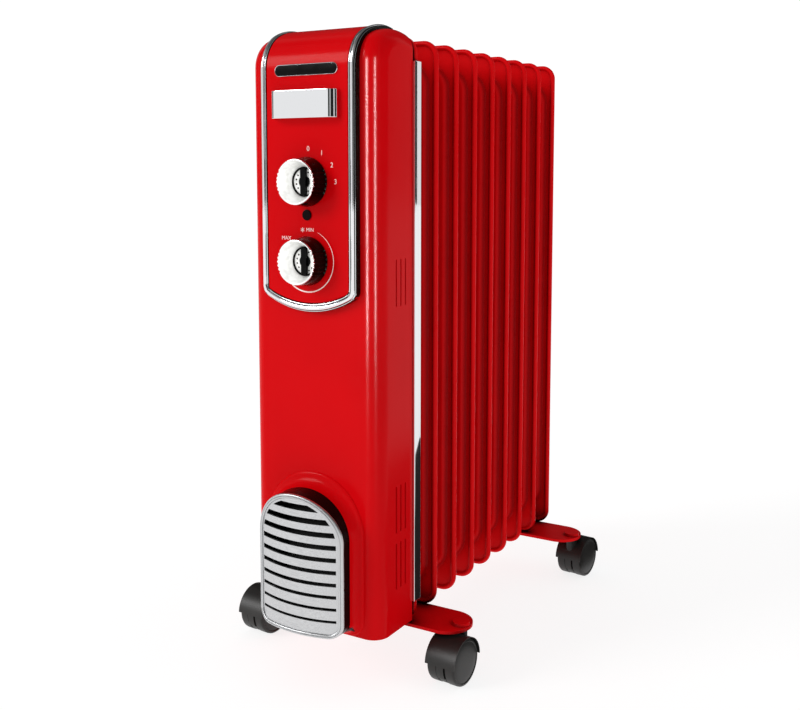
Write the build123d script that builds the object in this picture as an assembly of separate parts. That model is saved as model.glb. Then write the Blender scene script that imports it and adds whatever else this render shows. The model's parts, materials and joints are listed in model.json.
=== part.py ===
from build123d import *
import math
import os

# Oil filled radiator heater: nine hollow steel fins on two oil headers, a tall control
# housing in front, and four twin wheel casters under two pressed foot plates.
# All sizes are in millimetres.  The model is worked out with the front of the housing at
# y = 0 and the floor at z = 0, and each piece is moved by shift_y as it is written, so that
# the origin is under the middle of the whole heater.  The control panel faces -Y.

# ---------------------------------------------------------------- driving dimensions
FIN_COUNT = 9
FIN_PITCH = 42.7
FIRST_FIN_Y = 68.0
FIN_WIDTH = 151.0
FIN_BOTTOM = 53.8
FIN_TOP = 633.8
HEADER_INSET = 45.0

HOUSING_WIDTH = 149.0
HOUSING_DEPTH = 61.5
HOUSING_BOTTOM = 57.7
FASCIA_PROUD = 8.0
CROWN_Z = 600.0

SELECTOR_Z = 495.0
THERMOSTAT_Z = 420.3
LAMP_Z = 463.8
KNOB_RADIUS = 23.4
KNOB_LIP_RADIUS = 21.4
KNOB_DEPTH = 19.5

GRILLE_HALF = 49.0
GRILLE_BOTTOM = 64.0
GRILLE_SPRING = 155.0
GRILLE_RISE = 46.0
GRILLE_FRONT = 36.0

FOOT_HALF_WIDTH = 26.0
FOOT_LENGTH = 254.0
FOOT_SHEET = 2.5
FOOT_FORWARD = 3.0
STEM_X = 116.7
CASTER_TRAIL = 15.6
WHEEL_RADIUS = 23.5
WHEEL_WIDTH = 11.8
FRONT_SWIVEL = 176.0
REAR_SWIVEL = -6.0

FIN_Y = [FIRST_FIN_Y + FIN_PITCH * i for i in range(FIN_COUNT)]
FIN_MID_Z = (FIN_BOTTOM + FIN_TOP) / 2
FIN_HEIGHT = FIN_TOP - FIN_BOTTOM
LOWER_HEADER = FIN_BOTTOM + HEADER_INSET
UPPER_HEADER = FIN_TOP - HEADER_INSET
CLAMP_Y = [(FIN_Y[0] + FIN_Y[1]) / 2, (FIN_Y[-2] + FIN_Y[-1]) / 2]
FOOT_Y = [y - FOOT_FORWARD for y in CLAMP_Y]

PARTS = {}


# ---------------------------------------------------------------- helpers
def keep(name, shape):
    PARTS[name] = shape


def along_y(face, y0, y1):
    """A sketch drawn in x and z, made solid from y0 to y1."""
    return extrude(Plane.XZ.offset(-y0) * face, amount=-(y1 - y0))


def along_z(face, z0, z1):
    return extrude(Plane.XY.offset(z0) * face, amount=z1 - z0)


def along_x(face, x0, x1):
    """A sketch drawn in y and z, made solid from x0 to x1."""
    return extrude(Plane.YZ.offset(x0) * face, amount=x1 - x0)


def rod_y(radius, x, z, y0, y1):
    return along_y(Pos(x, z) * Circle(radius), y0, y1)


def rod_z(radius, x, y, z0, z1):
    return along_z(Pos(x, y) * Circle(radius), z0, z1)


def rod_x(radius, y, z, x0, x1):
    return along_x(Pos(y, z) * Circle(radius), x0, x1)


def block(x0, x1, y0, y1, z0, z1):
    size = (x1 - x0, y1 - y0, z1 - z0)
    middle = ((x0 + x1) / 2, (y0 + y1) / 2, (z0 + z1) / 2)
    return Pos(*middle) * Box(*size)


def pillow(width, height, radius, y0, draw, y1):
    """A pressed panel: a rounded rectangle at y0 that is smaller by draw at y1."""
    wide = Plane.XZ.offset(-y0) * RectangleRounded(width, height, radius)
    narrow = RectangleRounded(width - 2 * draw, height - 2 * draw, radius - draw)
    return loft([wide, Plane.XZ.offset(-y1) * narrow], ruled=True)


def arch(half, bottom, spring, rise, corner=0):
    """A tombstone outline: straight sides up to the spring line, then half an ellipse."""
    upright = Pos(0, (bottom + spring) / 2) * Rectangle(2 * half, spring - bottom)
    if corner > 0:
        upright = fillet([v for v in upright.vertices() if v.Y < spring - 1], corner)
    return upright + Pos(0, spring) * Ellipse(half, rise)


# ---------------------------------------------------------------- radiator fins
CORNER = 17.0
SHEET_HALF = 0.8
RIM_WIDTH = 5.0
RIM_HALF = 3.2
CHAMBER_WIDTH = 132.0
CHAMBER_HEIGHT = 542.0
CHAMBER_CORNER = 26.0
CHAMBER_HALF = 6.5
CHAMBER_DRAW = 6.0
FIN_WALL = 0.8
WINDOW_WIDTH = 20.0
WINDOW_HEIGHT = 400.0
WINDOW_X = 31.0
WINDOW_DRAW = 4.0
PORT_RADIUS = 17.0


def fin_blank():
    """One fin about y = 0, z = 0: two sheets, a rolled rim and the oil channels."""
    sheet = along_y(RectangleRounded(FIN_WIDTH, FIN_HEIGHT, CORNER), -SHEET_HALF, SHEET_HALF)
    rim_hole = RectangleRounded(FIN_WIDTH - 2 * RIM_WIDTH, FIN_HEIGHT - 2 * RIM_WIDTH, CORNER - RIM_WIDTH)
    rim_face = RectangleRounded(FIN_WIDTH, FIN_HEIGHT, CORNER) - rim_hole
    fin = sheet + along_y(rim_face, -RIM_HALF, RIM_HALF)
    cavity = None
    for side in (-1, 1):
        outer = pillow(CHAMBER_WIDTH, CHAMBER_HEIGHT, CHAMBER_CORNER, 0, CHAMBER_DRAW, side * CHAMBER_HALF)
        inner = pillow(
            CHAMBER_WIDTH - 2 * FIN_WALL,
            CHAMBER_HEIGHT - 2 * FIN_WALL,
            CHAMBER_CORNER - FIN_WALL,
            0,
            CHAMBER_DRAW,
            side * (CHAMBER_HALF - FIN_WALL),
        )
        for x in (-WINDOW_X, WINDOW_X):
            outer -= Pos(x, 0, 0) * window(0, side)
            inner -= Pos(x, 0, 0) * window(FIN_WALL, side)
        fin += outer
        cavity = inner if cavity is None else cavity + inner
    return fin - cavity


def window(grow, side):
    """The long pressed-in slot between two oil channels."""
    width = WINDOW_WIDTH + 2 * grow
    height = WINDOW_HEIGHT + 2 * grow
    y_out = side * (CHAMBER_HALF + 0.5)
    y_in = side * SHEET_HALF * (0 if grow else 1)
    mouth = Plane.XZ.offset(-y_out) * RectangleRounded(width, height, width / 2 - 2)
    narrow = width - 2 * WINDOW_DRAW
    floor = RectangleRounded(narrow, height - 2 * WINDOW_DRAW, narrow / 2 - 1.5)
    return loft([mouth, Plane.XZ.offset(-y_in) * floor], ruled=True)


def make_fins():
    blank = fin_blank()
    low = LOWER_HEADER - FIN_MID_Z
    high = UPPER_HEADER - FIN_MID_Z
    reach = CHAMBER_HALF + 1
    for i, y in enumerate(FIN_Y):
        fin = blank
        for z in (low, high):
            if i > 0:
                fin = fin - rod_y(PORT_RADIUS, 0, z, -reach, 0)
            if i < FIN_COUNT - 1:
                fin = fin - rod_y(PORT_RADIUS, 0, z, 0, reach)
        if i == 0:
            fin = fin - rod_y(PORT_RADIUS, 0, low, -reach, 0)
            fin = fin - rod_y(PLUG_RADIUS, 0, high, -reach, 0)
        keep(f"fin_{i + 1}", Pos(0, y, FIN_MID_Z) * fin)


# ---------------------------------------------------------------- header collars
COLLAR_FOOT = 27.0
COLLAR_WAIST = 20.5
WELD_BEAD = 22.0
PLUG_RADIUS = 6.0


def header_collars(z):
    """The pressed necks that join one fin to the next, with the weld bead half way."""
    length = FIN_PITCH - 2 * CHAMBER_HALF
    half = length / 2
    outline = Polyline(
        (PORT_RADIUS, -half),
        (COLLAR_FOOT, -half),
        (COLLAR_WAIST, -half + 8),
        (COLLAR_WAIST, -1.5),
        (WELD_BEAD, -1.0),
        (WELD_BEAD, 1.0),
        (COLLAR_WAIST, 1.5),
        (COLLAR_WAIST, half - 8),
        (COLLAR_FOOT, half),
        (PORT_RADIUS, half),
        close=True,
    )
    neck = revolve(make_face(outline), Axis.Y)
    return Compound([Pos(0, (a + b) / 2, z) * neck for a, b in zip(FIN_Y, FIN_Y[1:])])


# ---------------------------------------------------------------- heating element and plug
ELEMENT_ROD = 3.75
ELEMENT_LEG_X = 8.0
ELEMENT_LEG_Z = 7.0
FLANGE_RADIUS = 30.0
FLANGE_THICK = 4.0
GASKET = 1.0


def make_element():
    """Two sheathed U rods in the lower header, on a flange against the first fin."""
    face_y = FIN_Y[0] - CHAMBER_HALF
    flange_back = face_y - GASKET
    flange_front = flange_back - FLANGE_THICK
    end_y = FIN_Y[-1] - 15
    element = rod_y(FLANGE_RADIUS, 0, LOWER_HEADER, flange_front, flange_back)
    for dz in (-ELEMENT_LEG_Z, ELEMENT_LEG_Z):
        z = LOWER_HEADER + dz
        start = (-ELEMENT_LEG_X, flange_back - 0.5, z)
        path = Line(start, (-ELEMENT_LEG_X, end_y, z))
        path += ThreePointArc(
            (-ELEMENT_LEG_X, end_y, z), (0, end_y + ELEMENT_LEG_X, z), (ELEMENT_LEG_X, end_y, z)
        )
        path += Line((ELEMENT_LEG_X, end_y, z), (ELEMENT_LEG_X, flange_back - 0.5, z))
        section = Plane(origin=start, z_dir=(0, 1, 0)) * Circle(ELEMENT_ROD)
        element += sweep(section, path=path)
        for x in (-ELEMENT_LEG_X, ELEMENT_LEG_X):
            element += rod_y(2.5, x, z, flange_front - 9, flange_front)
    keep("heating_element", element)
    ring = Pos(0, LOWER_HEADER) * (Circle(FLANGE_RADIUS - 3) - Circle(PORT_RADIUS + 0.5))
    keep("element_gasket", along_y(ring, flange_back, face_y))
    plug = rod_y(PLUG_RADIUS, 0, UPPER_HEADER, face_y, face_y + FIN_WALL + 5)
    keep("filler_plug", plug + along_y(Pos(0, UPPER_HEADER) * RegularPolygon(9, 6), face_y - 3.5, face_y))


# ---------------------------------------------------------------- control housing
WALL = 2.2
CORNER_RADIUS = 16.5
FASCIA_HALF = 46.2
TRIM_WIDTH = 8.0
TRIM_PROUD = 9.2
FASCIA_REAR = HOUSING_DEPTH
FASCIA_SHEET = 2.2
FASCIA_LOW = 380.4
TRIM_LOW = 371.5
FASCIA_RISE = 11.7
VENT_Y = [31.0, 39.5, 48.0]
VENT_ROWS = [(377.0, 422.2), (156.0, 202.5), (99.8, 145.8)]
VENT_WIDTH = 2.0
BACK_PLATE_Y = 55.5
BACK_PLATE = 1.5
POST_X = 62.0
POST_Z = [74.0, 350.0, 596.0]
LINK_X = 73.0
POST_FRONT = 20.0
CROWN_NOSE = 30.0
CROWN_BACK = 68.0
CROWN_TURN = math.radians(115)
HOUSING_LIFT = 4.5


def side_profile(proud, lift, bottom, rear):
    """The crown seen from the side: upright front, tight nose, then a long flat arc back."""
    nose = CROWN_NOSE + proud
    back = CROWN_BACK + proud
    nose_z = CROWN_Z + lift
    half_turn = (math.pi + CROWN_TURN) / 2

    def on_nose(angle):
        return (CROWN_NOSE + nose * math.cos(angle), nose_z + nose * math.sin(angle))

    join = on_nose(CROWN_TURN)
    back_y = join[0] - back * math.cos(CROWN_TURN)
    back_z = join[1] - back * math.sin(CROWN_TURN)
    end_angle = math.acos((rear - back_y) / back)
    mid_angle = (CROWN_TURN + end_angle) / 2

    def on_back(angle):
        return (back_y + back * math.cos(angle), back_z + back * math.sin(angle))

    lines = Line((-proud, bottom), (-proud, nose_z))
    lines += ThreePointArc((-proud, nose_z), on_nose(half_turn), join)
    lines += ThreePointArc(join, on_back(mid_angle), on_back(end_angle))
    lines += Polyline(on_back(end_angle), (rear, bottom), (-proud, bottom))
    return make_face(lines)


def housing_block(inset, rear):
    """The housing's outer form, or the space inside it when inset is the wall."""
    half = HOUSING_WIDTH / 2 - inset
    bottom = HOUSING_BOTTOM + inset
    form = along_x(side_profile(-inset, HOUSING_LIFT, bottom, rear), -half, half)
    run = [e for e in form.edges() if abs(abs(e.center().X) - half) < 0.01]
    run = [e for e in run if e.center().Y < rear - 0.01 and e.center().Z > bottom + 1]
    return fillet(run, CORNER_RADIUS - inset)


def bottom_bow(half, low):
    """What lies above the downward bow that ends the fascia and its trim."""
    radius = (FASCIA_HALF**2 + FASCIA_RISE**2) / (2 * FASCIA_RISE)
    centre = low + radius
    arc = ThreePointArc(
        (-half, centre - math.sqrt(radius**2 - half**2)),
        (0, low),
        (half, centre - math.sqrt(radius**2 - half**2)),
    )
    above = CROWN_Z + 100
    rest = Polyline(arc @ 1, (half, above), (-half, above), arc @ 0)
    return along_y(make_face(arc + rest), -30, FASCIA_REAR)


def make_housing():
    shell = housing_block(0, HOUSING_DEPTH) - housing_block(WALL, HOUSING_DEPTH + 5)
    for y in VENT_Y:
        for low, high in VENT_ROWS:
            slot = Pos(y, (low + high) / 2) * SlotOverall(high - low, VENT_WIDTH, rotation=90)
            shell -= along_x(slot, -HOUSING_WIDTH, HOUSING_WIDTH)
    shell -= along_y(Pos(0, 482) * RectangleRounded(76, 176, 6), -1, WALL + 1)
    shell -= along_y(grille_outline(8), -1, WALL + 1)
    shell -= rod_x(GLAND_THREAD, GLAND_Y, GLAND_Z, -HOUSING_WIDTH, 0)
    for x in (-POST_X, POST_X):
        for z in POST_Z:
            post = rod_y(5, x, z, POST_FRONT, BACK_PLATE_Y) - rod_y(SCREW_RADIUS + 0.1, x, z, 38, 60)
            x0, x1 = sorted((x, math.copysign(LINK_X, x)))
            web = block(x0, x1, POST_FRONT, BACK_PLATE_Y, z - 1, z + 1)
            shell += post + (web - rod_y(4.9, x, z, 0, 60))
    keep("housing", shell)


def make_back_plate():
    plate = housing_block(WALL + 0.4, HOUSING_DEPTH)
    plate &= block(-80, 80, BACK_PLATE_Y, BACK_PLATE_Y + BACK_PLATE, 0, 700)
    plate -= rod_y(FLANGE_RADIUS + 2, 0, LOWER_HEADER, 0, 80)
    plate -= rod_y(12, 0, UPPER_HEADER, 0, 80)
    for x in (-POST_X, POST_X):
        for z in POST_Z:
            plate -= rod_y(SCREW_RADIUS + 0.2, x, z, 0, 80)
    for z in range(180, 560, 24):
        slot = Pos(0, z) * SlotOverall(60, 5)
        plate -= along_y(slot, 0, 80)
    keep("housing_back_plate", plate)


SCREW_RADIUS = 2.0
TERMINAL_RADIUS = 2.2
TERMINAL_TOP = 318.0
TERMINAL_Y = BACK_PLATE_Y - 8


def terminal_x(i):
    return -16.5 + 11 * i


def make_screws():
    heads = []
    for x in (-POST_X, POST_X):
        for z in POST_Z:
            top = BACK_PLATE_Y + BACK_PLATE
            screw = rod_y(SCREW_RADIUS, x, z, 42, top) + rod_y(3.8, x, z, top, top + 2.2)
            heads.append(screw - along_y(Pos(x, z) * Rectangle(5.5, 0.9), top + 1.2, top + 3))
    for i in range(4):
        heads.append(rod_z(TERMINAL_RADIUS, terminal_x(i), TERMINAL_Y, TERMINAL_TOP - 10, TERMINAL_TOP - 4))
    keep("housing_screws", Compound(heads))


# ---------------------------------------------------------------- fascia, trim and what they carry
KNOB_HOLE = 4.0
LAMP_RADIUS = 5.1
LAMP_STEM = 4.0
BADGE_Z = 599.0
BADGE_HALF = 35.8
BADGE_TALL = 11.0
GRIP_Z = 567.0
GRIP_HALF = 37.2
GRIP_TALL = 26.0
GRIP_PROUD = 10.0
GRIP_END = 9.0


def make_fascia():
    """The red panel that stands on the housing's front and rolls over its top."""
    low = FASCIA_LOW - 1
    thin = FASCIA_PROUD - FASCIA_SHEET
    outer = along_x(side_profile(FASCIA_PROUD, 0, low, FASCIA_REAR), -FASCIA_HALF, FASCIA_HALF)
    inner = along_x(side_profile(thin, 0, low - 5, FASCIA_REAR + 1), -FASCIA_HALF, FASCIA_HALF)
    panel = (outer - inner) & bottom_bow(FASCIA_HALF, FASCIA_LOW)
    for z in (SELECTOR_Z, THERMOSTAT_Z):
        panel -= rod_y(KNOB_HOLE, 0, z, -20, 0)
    panel -= rod_y(LAMP_STEM, 0, LAMP_Z, -20, 0)
    keep("fascia", panel)


def make_trim():
    """The chrome frame: two uprights and a bowed foot, from the housing to past the fascia."""
    half = FASCIA_HALF + TRIM_WIDTH
    low = TRIM_LOW - 1
    outer = along_x(side_profile(TRIM_PROUD, 0, low, FASCIA_REAR), -half, half)
    inner = along_x(side_profile(0, HOUSING_LIFT, low - 5, FASCIA_REAR + 1), -half, half)
    frame = (outer - inner) & bottom_bow(half, TRIM_LOW)
    gap = 0.15
    hole = Pos(0, 1, 0) * bottom_bow(FASCIA_HALF + gap, FASCIA_LOW - gap)
    keep("chrome_trim", frame - hole)


def pill(half, tall, z):
    return Pos(0, z) * SlotOverall(2 * half, tall)


def make_badge():
    """A blank black name plate in a thin chrome rim."""
    rim = pill(BADGE_HALF, BADGE_TALL, BADGE_Z) - pill(BADGE_HALF - 1.4, BADGE_TALL - 2.8, BADGE_Z)
    seat = BADGE_SEAT
    keep("badge_rim", along_y(rim, -seat - 1.4, -seat))
    keep("badge_plate", along_y(pill(BADGE_HALF - 1.4, BADGE_TALL - 2.8, BADGE_Z), -seat - 0.9, -seat))


def make_grip():
    """The chrome pull block under the badge, hollow at the back."""
    plan = Pos(0, -FASCIA_PROUD - GRIP_PROUD / 2) * Rectangle(2 * GRIP_HALF, GRIP_PROUD)
    plan = fillet([v for v in plan.vertices() if v.Y < -FASCIA_PROUD - 1], GRIP_END)
    low = GRIP_Z - GRIP_TALL / 2
    form = along_z(plan, low, low + GRIP_TALL)
    wall = 2.0
    hollow = Pos(0, -FASCIA_PROUD - (GRIP_PROUD - wall) / 2) * Rectangle(
        2 * (GRIP_HALF - wall), GRIP_PROUD - wall
    )
    hollow = fillet([v for v in hollow.vertices() if v.Y < -FASCIA_PROUD - 1], GRIP_END - wall)
    keep("pull_grip", form - along_z(hollow, low + wall, low + GRIP_TALL - wall))


BADGE_SEAT = FASCIA_PROUD


def make_lamp():
    front = -FASCIA_PROUD
    lens = rod_y(LAMP_STEM, 0, LAMP_Z, front, -4) + rod_y(LAMP_RADIUS, 0, LAMP_Z, front - 1.4, front)
    keep("lamp_lens", lens)
    keep("neon_lamp", rod_y(3, 0, LAMP_Z, -4, 10))


# ---------------------------------------------------------------- knobs and what they turn
KNOB_GAP = 0.5
KNOB_FLOOR = 14.0
KNOB_WALL = 1.8
KNOB_BOWL = 16.2
KNOB_LIP = 0.8
HUB_HOLE = 6.0
SHAFT_RADIUS = 3.0
RUNNING_GAP = 0.05
BAR_HALF = 3.0
BAR_PROUD = 3.0
CORE_RING = 1.6
STUD_COUNT = 14
STUD_RING = 9.6
STUD_RADIUS = 0.9
KNOB_BACK = -FASCIA_PROUD - KNOB_GAP
KNOB_FRONT = KNOB_BACK - KNOB_DEPTH
BOWL_FLOOR = KNOB_FRONT + KNOB_BOWL


def knob_cap(z):
    """A chromed ring: flared side and a deep bowl that narrows to a round floor."""
    lip = KNOB_LIP_RADIUS - KNOB_LIP
    outline = Polyline(
        (KNOB_RADIUS, KNOB_BACK),
        (KNOB_LIP_RADIUS, KNOB_FRONT + KNOB_LIP),
        (lip, KNOB_FRONT),
        (lip - KNOB_LIP, KNOB_FRONT),
        (KNOB_FLOOR, BOWL_FLOOR),
        (HUB_HOLE, BOWL_FLOOR),
        (HUB_HOLE, BOWL_FLOOR + KNOB_WALL),
        (KNOB_FLOOR + KNOB_WALL, BOWL_FLOOR + KNOB_WALL),
        (lip - KNOB_WALL, KNOB_FRONT + 2 * KNOB_WALL),
        (KNOB_RADIUS - KNOB_WALL, KNOB_BACK),
        close=True,
    )
    ring = revolve(make_face(outline), Axis.Y)
    for i in range(STUD_COUNT):
        turn = 2 * math.pi * (i + 0.5) / STUD_COUNT
        x, dz = STUD_RING * math.cos(turn), STUD_RING * math.sin(turn)
        ring -= rod_y(STUD_RADIUS, x, dz, BOWL_FLOOR - 1, BOWL_FLOOR + KNOB_WALL + 1)
    return Pos(0, 0, z) * ring


def knob_insert(z):
    """The black core: a ring round the bowl's floor, the bar across it, and a hub on the shaft."""
    ring_face = Pos(0, z) * (Circle(KNOB_FLOOR - 0.1) - Circle(KNOB_FLOOR - 0.1 - CORE_RING))
    ring = along_y(ring_face, BOWL_FLOOR - 1, BOWL_FLOOR)
    bar_face = Pos(0, z) * RectangleRounded(2 * BAR_HALF, 2 * KNOB_FLOOR - 2.4, 2)
    bar = along_y(bar_face, BOWL_FLOOR - BAR_PROUD, BOWL_FLOOR)
    hub = rod_y(HUB_HOLE - 0.1, 0, z, BOWL_FLOOR - 1, KNOB_BACK)
    return ring + bar + hub - rod_y(SHAFT_RADIUS, 0, z, BOWL_FLOOR - 1.5, 0)


def make_knobs():
    shaft_tip = BOWL_FLOOR - 1.5
    seat = -FASCIA_PROUD + FASCIA_SHEET
    sizes = {"selector": (SELECTOR_Z, 17, 24), "thermostat": (THERMOSTAT_Z, 19, 18)}
    for name, (z, half, depth) in sizes.items():
        keep(f"{name}_knob_cap", knob_cap(z))
        keep(f"{name}_knob_insert", knob_insert(z))
        keep(f"{name}_shaft", rod_y(SHAFT_RADIUS, 0, z, shaft_tip, seat + depth - 4))
        body = block(-half, half, seat, seat + depth, z - half, z + half)
        body -= rod_y(SHAFT_RADIUS + RUNNING_GAP, 0, z, seat - 1, seat + depth - 3.7)
        for dx in (-half + 6, 0, half - 6):
            body += block(dx - 1.6, dx + 1.6, seat + depth, seat + depth + 8, z - 9, z - 8.2)
        keep(f"{name}_switch", body)


# ---------------------------------------------------------------- grille and its boss
BOSS_HALF = 57.0
BOSS_SPRING = 157.5
BOSS_FRONT = 14.0
RIM_THICK = 4.5
RIM_CORNER = 14.0
BOW_RADIUS = 110.0
SLAT_SET_BACK = 1.5
SLAT_SHEET = 2.0
SLOT_COUNT = 10
SLOT_LOW_TALL = 2.6
SLOT_HIGH_TALL = 5.8
SLOT_STEP = 12.0
FIRST_SLOT_Z = 81.0
SLOT_MARGIN = 2.0


def grille_outline(inset):
    """The grille's arched outline, drawn in by inset all round."""
    half = GRILLE_HALF - inset
    corner = max(RIM_CORNER - inset, 2)
    return arch(half, GRILLE_BOTTOM + inset, GRILLE_SPRING, GRILLE_RISE - inset, corner)


def make_boss():
    """The arched red swelling that carries the grille, drawn in towards its front."""
    half = GRILLE_HALF + 0.6
    base = Plane.XZ * arch(BOSS_HALF, HOUSING_BOTTOM + 0.5, BOSS_SPRING, BOSS_HALF)
    step = Plane.XZ.offset(4) * arch(BOSS_HALF - 4.2, HOUSING_BOTTOM + 1.5, BOSS_SPRING - 5, BOSS_HALF - 1)
    crest = Plane.XZ.offset(BOSS_FRONT) * arch(half, GRILLE_BOTTOM - 1, GRILLE_SPRING, GRILLE_RISE + 1)
    form = loft([base, step], ruled=True) + loft([step, crest], ruled=True)
    keep("grille_boss", form - along_y(grille_outline(6), -BOSS_FRONT - 1, 1))


def bowed(front, rear):
    """Everything between two upright cylinders that bow the grille outward in plan."""
    width = 4 * GRILLE_HALF
    solid = Pos(0, -front + BOW_RADIUS) * Circle(BOW_RADIUS)
    if rear is not None:
        solid -= Pos(0, -rear + BOW_RADIUS) * Circle(BOW_RADIUS)
    window = Pos(0, -front + 30) * Rectangle(width, 60)
    return along_z(solid & window, GRILLE_BOTTOM, GRILLE_SPRING + GRILLE_RISE)


def make_grille():
    rim = along_y(grille_outline(0) - grille_outline(RIM_THICK), -GRILLE_FRONT - 5, -BOSS_FRONT)
    keep("grille_rim", rim & bowed(GRILLE_FRONT, None))
    front = GRILLE_FRONT - SLAT_SET_BACK
    sheet = bowed(front, front - SLAT_SHEET) & along_y(grille_outline(RIM_THICK), -60, 0)
    for i in range(SLOT_COUNT):
        z = FIRST_SLOT_Z + SLOT_STEP * i
        tall = SLOT_LOW_TALL + (SLOT_HIGH_TALL - SLOT_LOW_TALL) * i / (SLOT_COUNT - 1)
        slot = Pos(0, z) * Rectangle(2 * GRILLE_HALF, tall)
        sheet -= along_y(slot & grille_outline(RIM_THICK + SLOT_MARGIN), -60, 0)
    keep("grille_slats", sheet)
    keep("grille_backing", along_y(grille_outline(6.2), -5, -3.5))


# ---------------------------------------------------------------- chrome side strips
STRIP_Z = (76.6, 609.5)
STRIP_WIDTH = 12.0


def make_strips():
    """Channels that clip over the first fin's long edges."""
    low, high = STRIP_Z
    strips = []
    for side in (1, -1):
        inner_x = FIN_WIDTH / 2 - 3
        outer_x = FIN_WIDTH / 2 + 1.6
        x0, x1 = sorted((side * inner_x, side * outer_x))
        y0 = FIN_Y[0] - STRIP_WIDTH / 2
        strip = block(x0, x1, y0, y0 + STRIP_WIDTH, low, high)
        h0, h1 = sorted((side * (inner_x - 1), side * (FIN_WIDTH / 2)))
        strip -= block(h0, h1, FIN_Y[0] - RIM_HALF, FIN_Y[0] + RIM_HALF, low - 1, high + 1)
        housing_room = block(h0, h1, 0, HOUSING_DEPTH + 0.3, low - 1, high + 1)
        w0, w1 = sorted((side * inner_x, side * (HOUSING_WIDTH / 2 + 0.1)))
        strip -= housing_room + block(w0, w1, 0, HOUSING_DEPTH + 0.3, low - 1, high + 1)
        strips.append(strip)
    keep("chrome_strips", Compound(strips))


# ---------------------------------------------------------------- inside the housing
GLAND_Y = 30.0
GLAND_Z = 88.0
GLAND_THREAD = 7.5
GLAND_BORE = 3.6
GLAND_LENGTH = 18.0


def make_inside():
    wall_x = HOUSING_WIDTH / 2
    gland = rod_x(GLAND_THREAD, GLAND_Y, GLAND_Z, -wall_x - 4, -wall_x + GLAND_LENGTH - 4)
    gland += rod_x(10.5, GLAND_Y, GLAND_Z, -wall_x - 4, -wall_x)
    gland -= rod_x(GLAND_BORE, GLAND_Y, GLAND_Z, -wall_x - 10, -wall_x + GLAND_LENGTH)
    keep("cord_gland", gland)
    block_y = BACK_PLATE_Y
    body = block(-22, 22, block_y - 16, block_y, TERMINAL_TOP - 18, TERMINAL_TOP)
    for i in range(4):
        body -= rod_z(TERMINAL_RADIUS, terminal_x(i), TERMINAL_Y, TERMINAL_TOP - 10, TERMINAL_TOP + 1)
    keep("terminal_block", body)
    cutout = rod_y(8, 45, 330, block_y - 7, block_y) + block(43, 47, block_y - 14, block_y - 7, 325, 335)
    keep("thermal_cutout", cutout)


# ---------------------------------------------------------------- feet
DOME_FOOT = 9.5
DOME_CREST = 8.4
DOME_TALL = 3.0
SLEEVE_RADIUS = 7.2
STEM_RADIUS = 3.2
BOLT_RADIUS = 3.0
BOLT_REACH = 26.0
SLEEVE_LIP = 0.7
FOOT_LIP = 0.8


def make_feet():
    top = FIN_BOTTOM
    low = top - FOOT_SHEET
    bolts = []
    nuts = []
    sleeves = []
    for name, y, clamp_y in zip(("front", "rear"), FOOT_Y, CLAMP_Y):
        face = Pos(0, y) * SlotOverall(FOOT_LENGTH, 2 * FOOT_HALF_WIDTH)
        plate = along_z(face, low, top)
        inner = Pos(0, y) * SlotOverall(FOOT_LENGTH - 4, 2 * FOOT_HALF_WIDTH - 4)
        plate += along_z(face - inner, low - FOOT_LIP, low)
        for x in (-STEM_X, STEM_X):
            hollow = rod_z(SLEEVE_RADIUS, x, y, low - 1, top + DOME_TALL - 2)
            plate += Pos(x, y, top + DOME_TALL / 2) * Cone(DOME_FOOT, DOME_CREST, DOME_TALL)
            plate -= hollow
            sleeve = rod_z(SLEEVE_RADIUS, x, y, low - SLEEVE_LIP, top + DOME_TALL - 2)
            sleeves.append(sleeve - rod_z(STEM_RADIUS + RUNNING_GAP, x, y, low - 2, top + DOME_TALL - 2.6))
        for x in (-BOLT_REACH, BOLT_REACH):
            plate -= rod_z(BOLT_RADIUS + 0.3, x, clamp_y, low - 3, top + 1)
        keep(f"foot_plate_{name}", plate)
        bolts.append(u_bolt(clamp_y, low - 12))
        for x in (-BOLT_REACH, BOLT_REACH):
            nuts.append(wing_nut(x, clamp_y, low))
    keep("foot_clamps", Compound(bolts + nuts))
    keep("caster_sleeves", Compound(sleeves))


def u_bolt(y, low):
    """A threaded U that hangs on a lower header collar and passes through a foot plate."""
    path = Line((-BOLT_REACH, y, low), (-BOLT_REACH, y, LOWER_HEADER))
    path += ThreePointArc(
        (-BOLT_REACH, y, LOWER_HEADER), (0, y, LOWER_HEADER + BOLT_REACH), (BOLT_REACH, y, LOWER_HEADER)
    )
    path += Line((BOLT_REACH, y, LOWER_HEADER), (BOLT_REACH, y, low))
    section = Plane(origin=(-BOLT_REACH, y, low), z_dir=(0, 0, 1)) * Circle(BOLT_RADIUS)
    return sweep(section, path=path)


def wing_nut(x, y, top):
    nut = rod_z(6, x, y, top - 6, top)
    for side in (-1, 1):
        nut += block(x + min(5 * side, 12 * side), x + max(5 * side, 12 * side), y - 1.2, y + 1.2, top - 10, top - 2)
    return nut - rod_z(BOLT_RADIUS, x, y, top - 13, top + 1)


# ---------------------------------------------------------------- casters
WEB_HALF = 4.0
WHEEL_GAP = 0.4
AXLE_RADIUS = 3.0
HOOD_OUTER = 24.9
HOOD_INNER = 24.0
BOSS_RADIUS = 6.5
COLLAR_LOW = 49.1
COLLAR_HIGH = 50.3


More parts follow.
